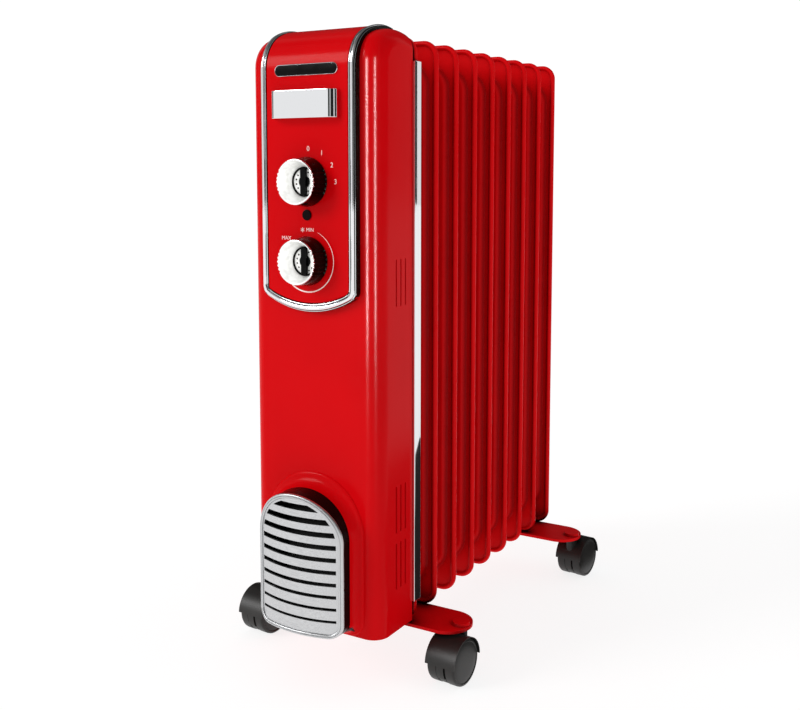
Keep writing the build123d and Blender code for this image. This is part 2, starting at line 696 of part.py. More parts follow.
def caster_pieces():
    """One caster about its stem: the wheels trail towards +Y, and their axle is along X."""
    axle_z = WHEEL_RADIUS
    wide = WEB_HALF + WHEEL_GAP + WHEEL_WIDTH + 0.6
    cover = Pos(CASTER_TRAIL, axle_z) * (Circle(HOOD_OUTER) - Circle(HOOD_INNER))
    keep_zone = Pos(CASTER_TRAIL, axle_z + 16) * Rectangle(2 * HOOD_OUTER + 2, 30)
    hood = along_x(cover & keep_zone, -wide, wide)
    web = Pos(CASTER_TRAIL, axle_z) * Circle(HOOD_INNER + 0.4)
    web &= Pos(CASTER_TRAIL, axle_z + 15) * Rectangle(80, 54)
    hood += along_x(web, -WEB_HALF, WEB_HALF)
    hood += rod_z(BOSS_RADIUS, 0, 0, axle_z + 8, COLLAR_LOW - 0.8)
    hood -= rod_z(STEM_RADIUS, 0, 0, 34, 60)
    hood -= rod_x(AXLE_RADIUS, CASTER_TRAIL, axle_z, -20, 20)
    wheel_room = Pos(CASTER_TRAIL, axle_z) * Circle(HOOD_INNER)
    for side in (-1, 1):
        x0, x1 = sorted((side * WEB_HALF, side * (wide + 1)))
        hood -= along_x(wheel_room, x0, x1)
    stem = rod_z(STEM_RADIUS, 0, 0, 34, FIN_BOTTOM + DOME_TALL - 3)
    stem += rod_z(5.5, 0, 0, COLLAR_LOW - 0.8, COLLAR_HIGH)
    axle = rod_x(AXLE_RADIUS, CASTER_TRAIL, axle_z, -wide + 3, wide - 3)
    wheels = []
    for side in (-1, 1):
        inner = WEB_HALF + WHEEL_GAP
        outer = inner + WHEEL_WIDTH
        outline = Polyline(
            (inner, AXLE_RADIUS + RUNNING_GAP),
            (inner, WHEEL_RADIUS - 1.5),
            (inner + 1.5, WHEEL_RADIUS),
            (outer - 2.5, WHEEL_RADIUS),
            (outer, WHEEL_RADIUS - 2.5),
            (outer - 1.2, WHEEL_RADIUS - 5),
            (outer - 1.2, 7),
            (outer, 6),
            (outer, 4.5),
            (outer - 2.4, 4.5),
            (outer - 2.4, AXLE_RADIUS + RUNNING_GAP),
            close=True,
        )
        wheel = revolve(make_face(outline), Axis.X)
        if side < 0:
            wheel = Rotation(0, 0, 180) * wheel
        wheels.append(Pos(0, CASTER_TRAIL, axle_z) * wheel)
    return hood, stem, axle, wheels


def make_casters():
    hood, stem, axle, wheels = caster_pieces()
    corners = {
        "front_right": (STEM_X, FOOT_Y[0], FRONT_SWIVEL),
        "front_left": (-STEM_X, FOOT_Y[0], FRONT_SWIVEL),
        "rear_right": (STEM_X, FOOT_Y[1], REAR_SWIVEL),
        "rear_left": (-STEM_X, FOOT_Y[1], REAR_SWIVEL),
    }
    for name, (x, y, turn) in corners.items():
        place = Pos(x, y, 0) * Rotation(0, 0, turn)
        keep(f"caster_hood_{name}", place * hood)
        keep(f"caster_pins_{name}", Compound([place * stem, place * axle]))
        keep(f"wheel_{name}_1", place * wheels[0])
        keep(f"wheel_{name}_2", place * wheels[1])


# ---------------------------------------------------------------- build and write
make_fins()
keep("lower_header_collars", header_collars(LOWER_HEADER))
keep("upper_header_collars", header_collars(UPPER_HEADER))
make_element()
make_housing()
make_back_plate()
make_screws()
make_fascia()
make_trim()
make_badge()
make_grip()
make_lamp()
make_knobs()
make_boss()
make_grille()
make_strips()
make_inside()
make_feet()
make_casters()

boxes = [shape.bounding_box() for shape in PARTS.values()]
front_most = min(box.min.Y for box in boxes)
rear_most = max(box.max.Y for box in boxes)
shift_y = -(front_most + rear_most) / 2

os.makedirs("parts", exist_ok=True)
for name, shape in PARTS.items():
    export_step(Pos(0, shift_y, 0) * shape, f"parts/{name}.step")
print(len(PARTS), "nodes, front", front_most, "rear", rear_most, "shift", shift_y)
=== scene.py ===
# %% [markdown]
# # An oil filled radiator heater
# The CAD model is loaded first and stays fixed. Everything made here rides on one of its
# bodies: the stand still "root", two knobs, four casters and their eight wheels.
# Each piece of the visual model either carries over a CAD node with a finish of its own
# or stands for one with a better mesh.

# %% Load the frame
import json
import math

import bmesh
import bpy
import numpy as np
from mathutils import Matrix, Vector

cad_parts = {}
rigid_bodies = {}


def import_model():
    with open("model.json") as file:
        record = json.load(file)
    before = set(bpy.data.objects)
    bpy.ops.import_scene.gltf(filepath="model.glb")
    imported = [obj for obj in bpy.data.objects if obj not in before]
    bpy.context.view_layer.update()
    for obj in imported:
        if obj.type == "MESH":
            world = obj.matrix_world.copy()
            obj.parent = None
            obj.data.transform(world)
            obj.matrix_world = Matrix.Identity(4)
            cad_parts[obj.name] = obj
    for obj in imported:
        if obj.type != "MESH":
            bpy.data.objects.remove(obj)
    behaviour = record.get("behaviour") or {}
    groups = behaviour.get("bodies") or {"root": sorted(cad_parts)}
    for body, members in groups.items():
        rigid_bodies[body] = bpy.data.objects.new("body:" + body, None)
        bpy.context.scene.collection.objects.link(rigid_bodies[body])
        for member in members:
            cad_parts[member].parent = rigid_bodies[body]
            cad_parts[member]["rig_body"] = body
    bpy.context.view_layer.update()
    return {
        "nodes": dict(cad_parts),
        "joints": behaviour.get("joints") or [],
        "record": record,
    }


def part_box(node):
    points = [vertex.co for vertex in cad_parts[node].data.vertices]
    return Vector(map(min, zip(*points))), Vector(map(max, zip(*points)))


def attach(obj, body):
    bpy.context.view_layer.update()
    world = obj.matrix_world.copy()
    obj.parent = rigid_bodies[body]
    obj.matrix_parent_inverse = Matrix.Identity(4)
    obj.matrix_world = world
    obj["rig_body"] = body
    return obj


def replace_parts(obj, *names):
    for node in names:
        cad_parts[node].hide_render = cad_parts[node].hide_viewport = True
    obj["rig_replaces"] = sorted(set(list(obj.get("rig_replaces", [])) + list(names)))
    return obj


for left_over in list(bpy.data.objects):
    bpy.data.objects.remove(left_over)
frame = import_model()
nodes = frame["nodes"]
MM = 0.001
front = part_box("housing")[0].y
print("loaded", len(nodes), "CAD nodes; the housing's front is at y =", round(front, 4))

# %% [markdown]
# ## Camera
# The camera stands right of the control panel, a little above mid height, and looks
# slightly down. Its lens is a short portrait lens, and a small downward shift keeps the
# uprights nearly parallel, as a product photographer does.

# %% Place the camera
SENSOR_MM = 36.0
LENS_MM = 47.18
camera_data = bpy.data.cameras.new("camera")
camera_data.sensor_width = SENSOR_MM
camera_data.lens = LENS_MM
camera_data.shift_y = -0.1015
camera = bpy.data.objects.new("camera", camera_data)
bpy.context.scene.collection.objects.link(camera)
camera.location = (580.0 * MM, front - 813.6 * MM, 506.8 * MM)
camera.rotation_euler = (math.radians(90 - 5.7), 0, math.radians(30.7))
bpy.context.scene.camera = camera
print("camera at", tuple(round(v, 3) for v in camera.location))

# %% [markdown]
# ## Colours and nodes
# Colours are written as the hex codes a painter would read off a swatch, and one function
# turns them to linear light. A second small function adds a node, sets it and links it.
# Three more colour, gloss and emboss a surface, so that a finish reads from top to bottom.


# %% Helpers for colours and nodes
def linear(code):
    """The linear RGBA of an sRGB hex code."""
    channels = [int(code[i : i + 2], 16) / 255 for i in (0, 2, 4)]
    light = [c / 12.92 if c <= 0.04045 else ((c + 0.055) / 1.055) ** 2.4 for c in channels]
    return (*light, 1.0)


def add(tree, kind, feeds=None, **settings):
    """Adds a node. Feeds are its inputs, each a value or the output socket to link."""
    made = tree.nodes.new(kind)
    for key, value in settings.items():
        setattr(made, key, value)
    for key, value in (feeds or {}).items():
        if isinstance(value, bpy.types.NodeSocket):
            tree.links.new(value, made.inputs[key])
        else:
            made.inputs[key].default_value = value
    return made


def new_finish(name, code, **constants):
    """A material with one Principled shader, whose even values sit on its own sockets."""
    material = bpy.data.materials.new(name)
    material.use_nodes = True
    tree = material.node_tree
    shader = tree.nodes["Principled BSDF"]
    shader.inputs["Base Color"].default_value = linear(code)
    for key, value in constants.items():
        shader.inputs[key.replace("_", " ")].default_value = value
    place = add(tree, "ShaderNodeTexCoord").outputs["Object"]
    return material, tree, shader, place


def per_mm(size):
    """A texture scale that repeats about once every so many millimetres."""
    return 1.0 / (size * MM)


def tints(tree, level, *stops):
    """The colour output of a ramp, given as positions and hex codes."""
    ramp = add(tree, "ShaderNodeValToRGB", {"Fac": level})
    for element, (position, code) in zip(ramp.color_ramp.elements, stops):
        element.position, element.color = position, linear(code)
    return ramp.outputs["Color"]


def tinted(tree, shader, level, *stops):
    """Colours the shader by a ramp over a texture level."""
    tree.links.new(tints(tree, level, *stops), shader.inputs["Base Color"])


def glossed(tree, shader, level, span, roughness):
    """Varies the roughness between two values as the level crosses its span."""
    feeds = {"Value": level, "From Min": span[0], "From Max": span[1]}
    feeds |= {"To Min": roughness[0], "To Max": roughness[1]}
    spread = add(tree, "ShaderNodeMapRange", feeds)
    tree.links.new(spread.outputs["Result"], shader.inputs["Roughness"])


def embossed(tree, shader, height, strength, depth_mm):
    """Raises a texture off the surface."""
    bump = add(
        tree, "ShaderNodeBump", {"Height": height, "Strength": strength, "Distance": depth_mm * MM}
    )
    tree.links.new(bump.outputs["Normal"], shader.inputs["Normal"])


print("helpers ready:", [f.__name__ for f in (linear, add, new_finish, tinted, glossed, embossed)])


# %% [markdown]
# ## Red stoving enamel
# The fins and foot plates are pressed steel, dipped and baked in red enamel. The film is
# glossy, and it flows, so it has a soft orange peel a few millimetres across and pulls a
# little thinner and darker here and there. The valleys between the fins take painted shade:
# ambient occlusion darkens them to dark red while the beads stay bright, which lets the eye
# count the fins.

# %% Finish: stoved enamel on pressed steel
enamel, tree, shader, place = new_finish(
    "stoved_red_enamel_on_steel", "DA0A12", Roughness=0.3, Specular_IOR_Level=0.05
)
flow = add(tree, "ShaderNodeTexNoise", {"Vector": place, "Scale": per_mm(60), "Detail": 3.0})
tone = tints(tree, flow.outputs["Fac"], (0.35, "D6090F"), (0.7, "DE0A11"))
# Painted shade: ambient occlusion mixes the colour towards a dark red in the valleys between fins
# and in other hollows.
PAINTED_SHADE_REACH_MM = 26.0
painted_shade_occlusion = add(tree, "ShaderNodeAmbientOcclusion", {"Distance": PAINTED_SHADE_REACH_MM * MM}, samples=8)
depth = add(
    tree,
    "ShaderNodeMapRange",
    {"Value": painted_shade_occlusion.outputs["AO"], "From Min": 0.54, "From Max": 0.95},
)
tone_with_painted_shade = add(
    tree,
    "ShaderNodeMix",
    {0: depth.outputs["Result"], 6: linear("200102"), 7: tone},
    data_type="RGBA",
)
tree.links.new(tone_with_painted_shade.outputs[2], shader.inputs["Base Color"])
peel = add(tree, "ShaderNodeTexNoise", {"Vector": place, "Scale": per_mm(3.5), "Detail": 2.0})
embossed(tree, shader, peel.outputs["Fac"], 0.12, 0.3)
glossed(tree, shader, flow.outputs["Fac"], (0.3, 0.7), (0.24, 0.36))
print("finish", enamel.name)

# %% [markdown]
# ## Red gloss plastic
# The control housing is injection moulded in high gloss ABS. It is smoother than the
# enamel, so lamps reflect as clean bands at its rounded corners. A trace of moulding sink
# keeps large faces from looking like glass. The inside of the moulding is painted a dull
# dark red as painted shade, so that the vent slots read as dark lines.

# %% Finish: high gloss moulded ABS
gloss_abs, tree, shader, place = new_finish(
    "gloss_red_moulded_abs", "D0040A", Roughness=0.17, Specular_IOR_Level=0.045
)
sink = add(tree, "ShaderNodeTexNoise", {"Vector": place, "Scale": per_mm(90), "Detail": 2.0})
tinted(tree, shader, sink.outputs["Fac"], (0.3, "CC030A"), (0.75, "D3040C"))
haze = add(tree, "ShaderNodeTexNoise", {"Vector": place, "Scale": per_mm(12), "Detail": 3.0})
glossed(tree, shader, haze.outputs["Fac"], (0.3, 0.7), (0.155, 0.185))
embossed(tree, shader, haze.outputs["Fac"], 0.03, 0.3)
print("finish", gloss_abs.name)

# %% [markdown]
# ## Chrome and brushed metal
# Bright chrome plate covers the panel frame, the pull block, the knobs and the side
# strips. Handling leaves faint smears, so its gloss varies by a hair. Satin silver lines
# the knobs' bowls and reads as soft white beside it. A near black chrome paints dark
# reflections: the dark lines of the panel frame and the knobs' fluted sides. The grille is
# brushed along its slats, which draws fine scratches lengthways and spreads reflections up
# and down.

# %% Finish: bright chrome plate
chrome, tree, shader, place = new_finish(
    "bright_chrome_plate", "E9EAEC", Metallic=1.0, Roughness=0.07
)
smear = add(tree, "ShaderNodeTexNoise", {"Vector": place, "Scale": per_mm(18), "Detail": 4.0})
glossed(tree, shader, smear.outputs["Fac"], (0.35, 0.7), (0.03, 0.06))
print("finish", chrome.name)

# %% Finishes: satin silver inside the knobs, chrome with painted dark reflection round them
satin, tree, shader, place = new_finish(
    "satin_silver_plate", "F2F2EF", Metallic=0.25, Roughness=0.4
)
cloud = add(tree, "ShaderNodeTexNoise", {"Vector": place, "Scale": per_mm(5), "Detail": 3.0})
tinted(tree, shader, cloud.outputs["Fac"], (0.3, "E6E6E2"), (0.6, "FAFAF8"))
# Painted reflection: near black chrome that stands for dark surroundings reflected in the trim's
# grooves and the knobs' sides.
dark_reflection_chrome, tree, shader, place = new_finish(
    "chrome_painted_dark_reflection", "1C211E", Metallic=1.0, Roughness=0.22
)
cloud = add(tree, "ShaderNodeTexNoise", {"Vector": place, "Scale": per_mm(4), "Detail": 3.0})
glossed(tree, shader, cloud.outputs["Fac"], (0.3, 0.7), (0.16, 0.3))
print("finishes", satin.name, dark_reflection_chrome.name)

# %% Finish: brushed aluminium
SCRATCH_MM = 0.35  # real brush lines are near 0.1 mm; drawn coarser so that they show
SCRATCH_LENGTH_MM = 45.0
brushed, tree, shader, place = new_finish(
    "brushed_aluminium", "CFD0D1", Metallic=1.0, Roughness=0.34, Anisotropic=0.5
)
stretch = add(
    tree,
    "ShaderNodeMapping",
    {"Vector": place, "Scale": (per_mm(SCRATCH_LENGTH_MM), per_mm(SCRATCH_MM), per_mm(SCRATCH_MM))},
)
lines = add(
    tree, "ShaderNodeTexNoise", {"Vector": stretch.outputs["Vector"], "Scale": 1.0, "Detail": 3.0}
)
glossed(tree, shader, lines.outputs["Fac"], (0.25, 0.75), (0.24, 0.5))
tinted(tree, shader, lines.outputs["Fac"], (0.3, "B9BABC"), (0.7, "DCDDDE"))
embossed(tree, shader, lines.outputs["Fac"], 0.2, 0.1)
print("finish", brushed.name)

# %% [markdown]
# ## Blacks
# The knob cores and the blank name plate are gloss black ABS. The same black serves as
# painted shade on the grille rim's skirt and on the swell inside the grille. The casters are
# nylon from a spark eroded mould, which leaves a fine even grain and a dull sheen.

# %% Finish: gloss black ABS
black_and_painted_shade, tree, shader, place = new_finish(
    "gloss_black_abs_and_painted_shade", "040404", Roughness=0.2, Specular_IOR_Level=0.08
)
haze = add(tree, "ShaderNodeTexNoise", {"Vector": place, "Scale": per_mm(9), "Detail": 3.0})
glossed(tree, shader, haze.outputs["Fac"], (0.3, 0.7), (0.15, 0.3))
print("finish", black_and_painted_shade.name)

# %% Finish: spark eroded black nylon
GRAIN_MM = 0.9
nylon, tree, shader, place = new_finish(
    "black_moulded_nylon", "1B1A18", Roughness=0.42, Specular_IOR_Level=0.4
)
grain = add(tree, "ShaderNodeTexNoise", {"Vector": place, "Scale": per_mm(GRAIN_MM), "Detail": 2.0})
embossed(tree, shader, grain.outputs["Fac"], 0.15, 0.2)
patch = add(tree, "ShaderNodeTexNoise", {"Vector": place, "Scale": per_mm(25), "Detail": 3.0})
tinted(tree, shader, patch.outputs["Fac"], (0.3, "171614"), (0.75, "201E1C"))
print("finish", nylon.name)

# %% [markdown]
# ## Small parts
# The rest is ordinary hardware: zinc plated fixings, a galvanised back plate with its
# crystal spangle, a nitrile rubber gasket, cream thermoset switch bodies, the dark red
# lens of the lamp with a glass neon behind it, and pad printed white ink.

# %% Finish: zinc plate
zinc, tree, shader, place = new_finish("bright_zinc_plate", "B9BBBE", Metallic=1.0, Roughness=0.32)
bloom = add(tree, "ShaderNodeTexNoise", {"Vector": place, "Scale": per_mm(6), "Detail": 4.0})
tinted(tree, shader, bloom.outputs["Fac"], (0.3, "9FA2A6"), (0.7, "C6C8CB"))
print("finish", zinc.name)

# %% Finish: galvanised sheet
SPANGLE_MM = 9.0
galvanised, tree, shader, place = new_finish(
    "galvanised_sheet", "A9ADB0", Metallic=1.0, Roughness=0.4
)
spangle = add(tree, "ShaderNodeTexVoronoi", {"Vector": place, "Scale": per_mm(SPANGLE_MM)})
tinted(tree, shader, spangle.outputs["Color"], (0.2, "93979B"), (0.8, "BCC0C3"))
print("finish", galvanised.name)

# %% Finish: rubber, thermoset, lens, neon glass and ink
rubber, tree, shader, place = new_finish("nitrile_rubber", "17171A", Roughness=0.75)
grain = add(tree, "ShaderNodeTexNoise", {"Vector": place, "Scale": per_mm(2), "Detail": 2.0})
embossed(tree, shader, grain.outputs["Fac"], 0.2, 0.2)

thermoset, tree, shader, place = new_finish("cream_thermoset", "D9D2C0", Roughness=0.45)
speck = add(tree, "ShaderNodeTexNoise", {"Vector": place, "Scale": per_mm(1.2), "Detail": 2.0})
tinted(tree, shader, speck.outputs["Fac"], (0.35, "CFC7B3"), (0.6, "DED8C8"))

lens_red, tree, shader, place = new_finish(
    "dark_red_acrylic_lens", "0C0001", Roughness=0.3, Specular_IOR_Level=0.06
)
prism = add(tree, "ShaderNodeTexVoronoi", {"Vector": place, "Scale": per_mm(1.6)})
embossed(tree, shader, prism.outputs["Distance"], 0.25, 0.2)

neon_glass, tree, shader, place = new_finish("neon_lamp_glass", "E8C9AE", Roughness=0.08)
smoke = add(tree, "ShaderNodeTexNoise", {"Vector": place, "Scale": per_mm(4), "Detail": 2.0})
tinted(tree, shader, smoke.outputs["Fac"], (0.0, "D8B193"), (1.0, "F2DEC9"))

ink, tree, shader, place = new_finish("pad_printed_white_ink", "FBE3DF", Roughness=0.5)
screen = add(tree, "ShaderNodeTexNoise", {"Vector": place, "Scale": per_mm(0.8), "Detail": 2.0})
tinted(tree, shader, screen.outputs["Fac"], (0.3, "F3C4BE"), (0.6, "FFF1EE"))

# Painted shade: a dull dark red for the inside of the housing, where no light reaches.
shade, tree, shader, place = new_finish(
    "unlit_moulding_inside", "1A0303", Roughness=0.8, Specular_IOR_Level=0.1
)
rough = add(tree, "ShaderNodeTexNoise", {"Vector": place, "Scale": per_mm(3), "Detail": 2.0})
embossed(tree, shader, rough.outputs["Fac"], 0.2, 0.3)
print("finishes", [m.name for m in bpy.data.materials][-6:])

FINISH_OF_SLOT = {
    "fin_enamel": enamel,
    "housing_gloss": gloss_abs,
    "chrome_plate": chrome,
    "brushed_grille": brushed,
    "black_plastic": black_and_painted_shade,
    "caster_nylon": nylon,
    "zinc_steel": zinc,
    "galvanised_sheet": galvanised,
    "gasket_rubber": rubber,
    "switch_body": thermoset,
    "lamp_red": lens_red,
    "neon_glass": neon_glass,
}
slot_of = {part["node"]: part["material_slot"] for part in frame["record"]["subparts"]}

# %% [markdown]
# ## How a piece is finished
# A mesh made here is merged, its faces turned outwards, shaded smooth up to an angle, and
# then hung on its CAD body. A carried-over CAD node is copied, its flat triangles joined
# into faces and its sharp edges broken by a small round, because a real edge always
# catches a thin line of light.


# %% Helpers for pieces
def settle(name, mesh, finish, body, stands_for=(), sharp=35.0):
    """Turns a mesh into a finished piece on its body."""
    form = bmesh.new()
    form.from_mesh(mesh)
    bmesh.ops.remove_doubles(form, verts=form.verts, dist=0.002 * MM)
    bmesh.ops.recalc_face_normals(form, faces=form.faces)
    for face in form.faces:
        face.smooth = True
    for edge in form.edges:
        edge.smooth = edge.calc_face_angle(math.pi) < math.radians(sharp)
    form.to_mesh(mesh)
    form.free()
    mesh.materials.clear()
    mesh.materials.append(finish)
    obj = bpy.data.objects.new(name, mesh)
    bpy.context.scene.collection.objects.link(obj)
    weigh = obj.modifiers.new("weigh", "WEIGHTED_NORMAL")
    weigh.keep_sharp, weigh.weight = True, 100
    graph = bpy.context.evaluated_depsgraph_get()
    flat = bpy.data.meshes.new_from_object(
        obj.evaluated_get(graph), preserve_all_data_layers=True, depsgraph=graph
    )
    obj.modifiers.clear()
    obj.data = flat
    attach(obj, body)
    if stands_for:
        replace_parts(obj, *stands_for)
    print("made", name, len(mesh.polygons), "faces")
    return obj


def mesh_from(name, points, faces):
    mesh = bpy.data.meshes.new(name)
    mesh.from_pydata([tuple(p) for p in points], [], faces)
    return mesh


def softened(node, round_mm, segments=2, sharp=35.0):
    """Stands for a CAD node with a copy whose sharp edges are rounded."""
    body = nodes[node]["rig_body"]
    form = bmesh.new()
    form.from_mesh(nodes[node].data)
    bmesh.ops.remove_doubles(form, verts=form.verts, dist=0.004 * MM)
    bmesh.ops.dissolve_limit(
        form, angle_limit=math.radians(0.6), verts=form.verts, edges=form.edges
    )
    edges = [e for e in form.edges if e.is_manifold and e.calc_face_angle(0) > math.radians(sharp)]
    bmesh.ops.bevel(
        form,
        geom=edges,
        offset=round_mm * MM,
        segments=segments,
        profile=0.5,
        affect="EDGES",
        clamp_overlap=True,
    )
    bmesh.ops.triangulate(form, faces=[f for f in form.faces if len(f.verts) > 4])
    mesh = bpy.data.meshes.new(node + "_softened")
    form.to_mesh(mesh)
    form.free()
    slot = slot_of[node]
    return settle(node + "_softened", mesh, FINISH_OF_SLOT[slot], body, (node,))


def ring_faces(count, rings, looped=False):
    """Quads between successive rings of points. Looped joins the last ring to the first."""
    faces = []
    for ring in range(rings if looped else rings - 1):
        for i in range(count):
            j = (i + 1) % count
            a, b = ring * count, (ring + 1) % rings * count
            faces.append((a + i, a + j, b + j, b + i))
    return faces


# %% [markdown]
# ## Floor and light
# The floor is a light table that glows under the heater, so only a soft shadow shows on
# it. A low sun, spread as wide as a window, lights the front. A dark card lies on the
# floor and keeps the glow out of the reflections in the fins and the side strips.

# %% Floor
FLOOR_HALF = 12.0
floor_mesh = mesh_from(
    "floor",
    [(FLOOR_HALF * x, FLOOR_HALF * y, 0) for x, y in ((-1, -1), (1, -1), (1, 1), (-1, 1))],
    [(0, 1, 2, 3)],
)
floor_paint, tree, shader, place = new_finish(
    "pale_light_table", "8C8C8C", Roughness=0.8, Specular_IOR_Level=0.1
)
shader.inputs["Emission Color"].default_value = (1, 1, 1, 1)
shader.inputs["Emission Strength"].default_value = 0.82
floor_mesh.materials.append(floor_paint)
floor = bpy.data.objects.new("floor", floor_mesh)
bpy.context.scene.collection.objects.link(floor)
print("floor", 2 * FLOOR_HALF, "m square")


# %% Helpers for lamps
def softbox(name, centre, target, size, power):
    """A rectangular lamp at centre that faces the target."""
    lamp = bpy.data.lights.new(name, "AREA")
    lamp.shape = "RECTANGLE"
    lamp.size, lamp.size_y = size
    lamp.energy = power
    obj = bpy.data.objects.new(name, lamp)
    bpy.context.scene.collection.objects.link(obj)
    obj.location = centre
    obj.rotation_euler = (Vector(target) - Vector(centre)).to_track_quat("-Z", "Y").to_euler()
    return obj


def card(name, centre, target, size, code):
    """A matt card that shows in reflections but not to the camera."""
    x, y = size[0] / 2, size[1] / 2
    mesh = mesh_from(name, [(-x, -y, 0), (x, -y, 0), (x, y, 0), (-x, y, 0)], [(0, 1, 2, 3)])
    mesh.materials.append(new_finish(name, code, Roughness=0.9)[0])
    obj = bpy.data.objects.new(name, mesh)
    bpy.context.scene.collection.objects.link(obj)
    obj.location = centre
    obj.rotation_euler = (Vector(target) - Vector(centre)).to_track_quat("-Z", "Y").to_euler()
    obj.visible_camera = False
    obj.visible_diffuse = False
    obj.visible_shadow = False
    return obj


# %% Window and floor card
sun_data = bpy.data.lights.new("window", "SUN")
sun_data.energy = 1.35
sun_data.angle = math.radians(24)
sun = bpy.data.objects.new("window", sun_data)
bpy.context.scene.collection.objects.link(sun)
sun.rotation_euler = Vector((0.55, 0.66, -0.42)).to_track_quat("-Z", "Y").to_euler()
card("floor_flag", (0.33, 0.32, 0.002), (0.33, 0.32, 5.0), (0.36, 0.75), "202020")

print("window", sun_data.energy, "and one floor card")

# %% [markdown]
# ## The room
# The room is white paper to the camera and an even grey light to matt surfaces. Shiny
# surfaces see something else: dark walls with bright panels at set compass bearings and a
# dark ceiling. Those panels are what stripes the chrome black and white.

# %% Room
world = bpy.data.worlds.new("studio_room")
world.use_nodes = True
tree = world.node_tree
rays = add(tree, "ShaderNodeLightPath")
way = add(tree, "ShaderNodeTexCoord").outputs["Generated"]
split = add(tree, "ShaderNodeSeparateXYZ", {"Vector": way})
ahead = add(tree, "ShaderNodeMath", {0: split.outputs["Y"], 1: -1.0}, operation="MULTIPLY")
bearing = add(
    tree, "ShaderNodeMath", {0: split.outputs["X"], 1: ahead.outputs[0]}, operation="ARCTAN2"
)
around = add(
    tree,
    "ShaderNodeMapRange",
    {"Value": bearing.outputs[0], "From Min": -math.pi, "From Max": math.pi},
)
BEARINGS = [
    # degrees round from the front, brightness from there to the next
    (-180, 0.04), (-120, 0.75), (-100, 0.05), (-78, 0.95), (2, 0.03), (22, 0.7), (31, 0.02),
    (68, 0.9), (80, 0.03), (148.5, 0.85), (157, 0.04),
]
walls = add(tree, "ShaderNodeValToRGB", {"Fac": around.outputs["Result"]})
walls.color_ramp.interpolation = "CONSTANT"
while len(walls.color_ramp.elements) < len(BEARINGS):
    walls.color_ramp.elements.new(1.0)
for stop, (degrees, level) in zip(walls.color_ramp.elements, BEARINGS):
    stop.position = (degrees + 180) / 360
    stop.color = (level, level, level, 1)
height = add(
    tree, "ShaderNodeMapRange", {"Value": split.outputs["Z"], "From Min": 0.5, "From Max": 0.9}
)
mirror = add(tree, "ShaderNodeBackground", {"Color": walls.outputs["Color"], "Strength": 1.0})
ceiling = add(tree, "ShaderNodeBackground", {"Color": (0.12, 0.12, 0.12, 1), "Strength": 1.0})
seen = add(
    tree,
    "ShaderNodeMixShader",
    {0: height.outputs["Result"], 1: mirror.outputs[0], 2: ceiling.outputs[0]},
)
tree.nodes["Background"].inputs["Color"].default_value = (0.58, 0.58, 0.58, 1)
lit = add(
    tree,
    "ShaderNodeMixShader",
    {0: rays.outputs["Is Glossy Ray"], 1: tree.nodes["Background"].outputs[0], 2: seen.outputs[0]},
)
paper = add(tree, "ShaderNodeBackground", {"Color": (1, 1, 1, 1), "Strength": 1.05})
either = add(
    tree,
    "ShaderNodeMixShader",
    {0: rays.outputs["Is Camera Ray"], 1: lit.outputs[0], 2: paper.outputs[0]},
)
tree.links.new(either.outputs[0], tree.nodes["World Output"].inputs["Surface"])
bpy.context.scene.world = world
bpy.context.scene.view_settings.view_transform = "Standard"
print("room with", len(BEARINGS), "wall panels")

# %% [markdown]
# ## Fins
# A fin is two pressed sheets of 0.8 mm steel, seam welded round the edge and along the
# middle. The edge is rolled into a round bead, a narrow valley carries the weld, and the
# oil channels swell out behind a smooth shoulder. Two long windows part the channels. The
# fin is drawn once as rings of points, and a small Geometry Nodes tree repeats it nine
# times at the pitch of the headers.

# %% One fin
FIN_COUNT = 9
FIN_PITCH = 42.7
FIN_HALF_WIDTH = 75.5
FIN_HALF_HEIGHT = 290.0
FIN_MID_Z = 343.8
FIN_CORNER = 17.0
CORNER_STEPS = 10
# Each profile is (distance inward, half thickness) in millimetres.
BEAD = [
    (0.0, 0.0), (0.15, 1.0), (0.6, 1.9), (1.4, 2.7), (2.5, 3.15), (3.6, 3.0), (4.6, 2.2),
    (5.3, 1.3), (6.2, 0.85),
]
SHOULDER = [(0.0, 0.85), (0.7, 1.3), (1.7, 2.7), (2.7, 4.3), (3.7, 5.5), (4.9, 6.3), (6.2, 6.5)]
WINDOW = [(0.0, 6.5), (0.8, 6.1), (2.2, 3.6), (3.4, 1.3), (4.2, 0.85)]


def rounded_ring(half_x, half_z, corner, y, x0=0.0, steps=CORNER_STEPS):
    """Points round an upright rounded rectangle, anticlockwise seen from -Y."""
    ring = []
    for quarter, (sx, sz) in enumerate([(1, 1), (-1, 1), (-1, -1), (1, -1)]):
        for i in range(steps + 1):
            angle = math.pi / 2 * (quarter + i / steps)
            x = sx * (half_x - corner) + corner * math.cos(angle)
            z = sz * (half_z - corner) + corner * math.sin(angle)
            ring.append(((x0 + x) * MM, y * MM, z * MM))
    return ring


def fin_mesh():
    """One fin about the origin, as both pressed halves in one closed skin."""
    form = bmesh.new()
    count = 4 * (CORNER_STEPS + 1)
    for side in (-1, 1):
        rings = [
            rounded_ring(FIN_HALF_WIDTH - d, FIN_HALF_HEIGHT - d, FIN_CORNER - d, side * y)
            for d, y in BEAD
        ]
        rings += [rounded_ring(66 - d, 271 - d, 26 - d, side * y) for d, y in SHOULDER]
        made = [[form.verts.new(p) for p in ring] for ring in rings]
        wells = []
        for x0 in (-31, 31):
            well = [rounded_ring(10 - d, 200 - d, 8 - d, side * y, x0) for d, y in WINDOW]
            wells.append([[form.verts.new(p) for p in ring] for ring in well])
        for stack in [made, *wells]:
            for a, b in zip(stack, stack[1:]):
                for i in range(count):
                    j = (i + 1) % count
                    form.faces.new((a[i], a[j], b[j], b[i]))
        form.edges.ensure_lookup_table()
        borders = []
        for ring in [made[-1], wells[0][0], wells[1][0]]:
            borders += [form.edges.get((ring[i], ring[(i + 1) % count])) for i in range(count)]
        bmesh.ops.triangle_fill(form, edges=borders, use_beauty=True)
        for well in wells:
            form.faces.new(well[-1])
    mesh = bpy.data.meshes.new("fin")
    form.to_mesh(mesh)
    form.free()
    return mesh


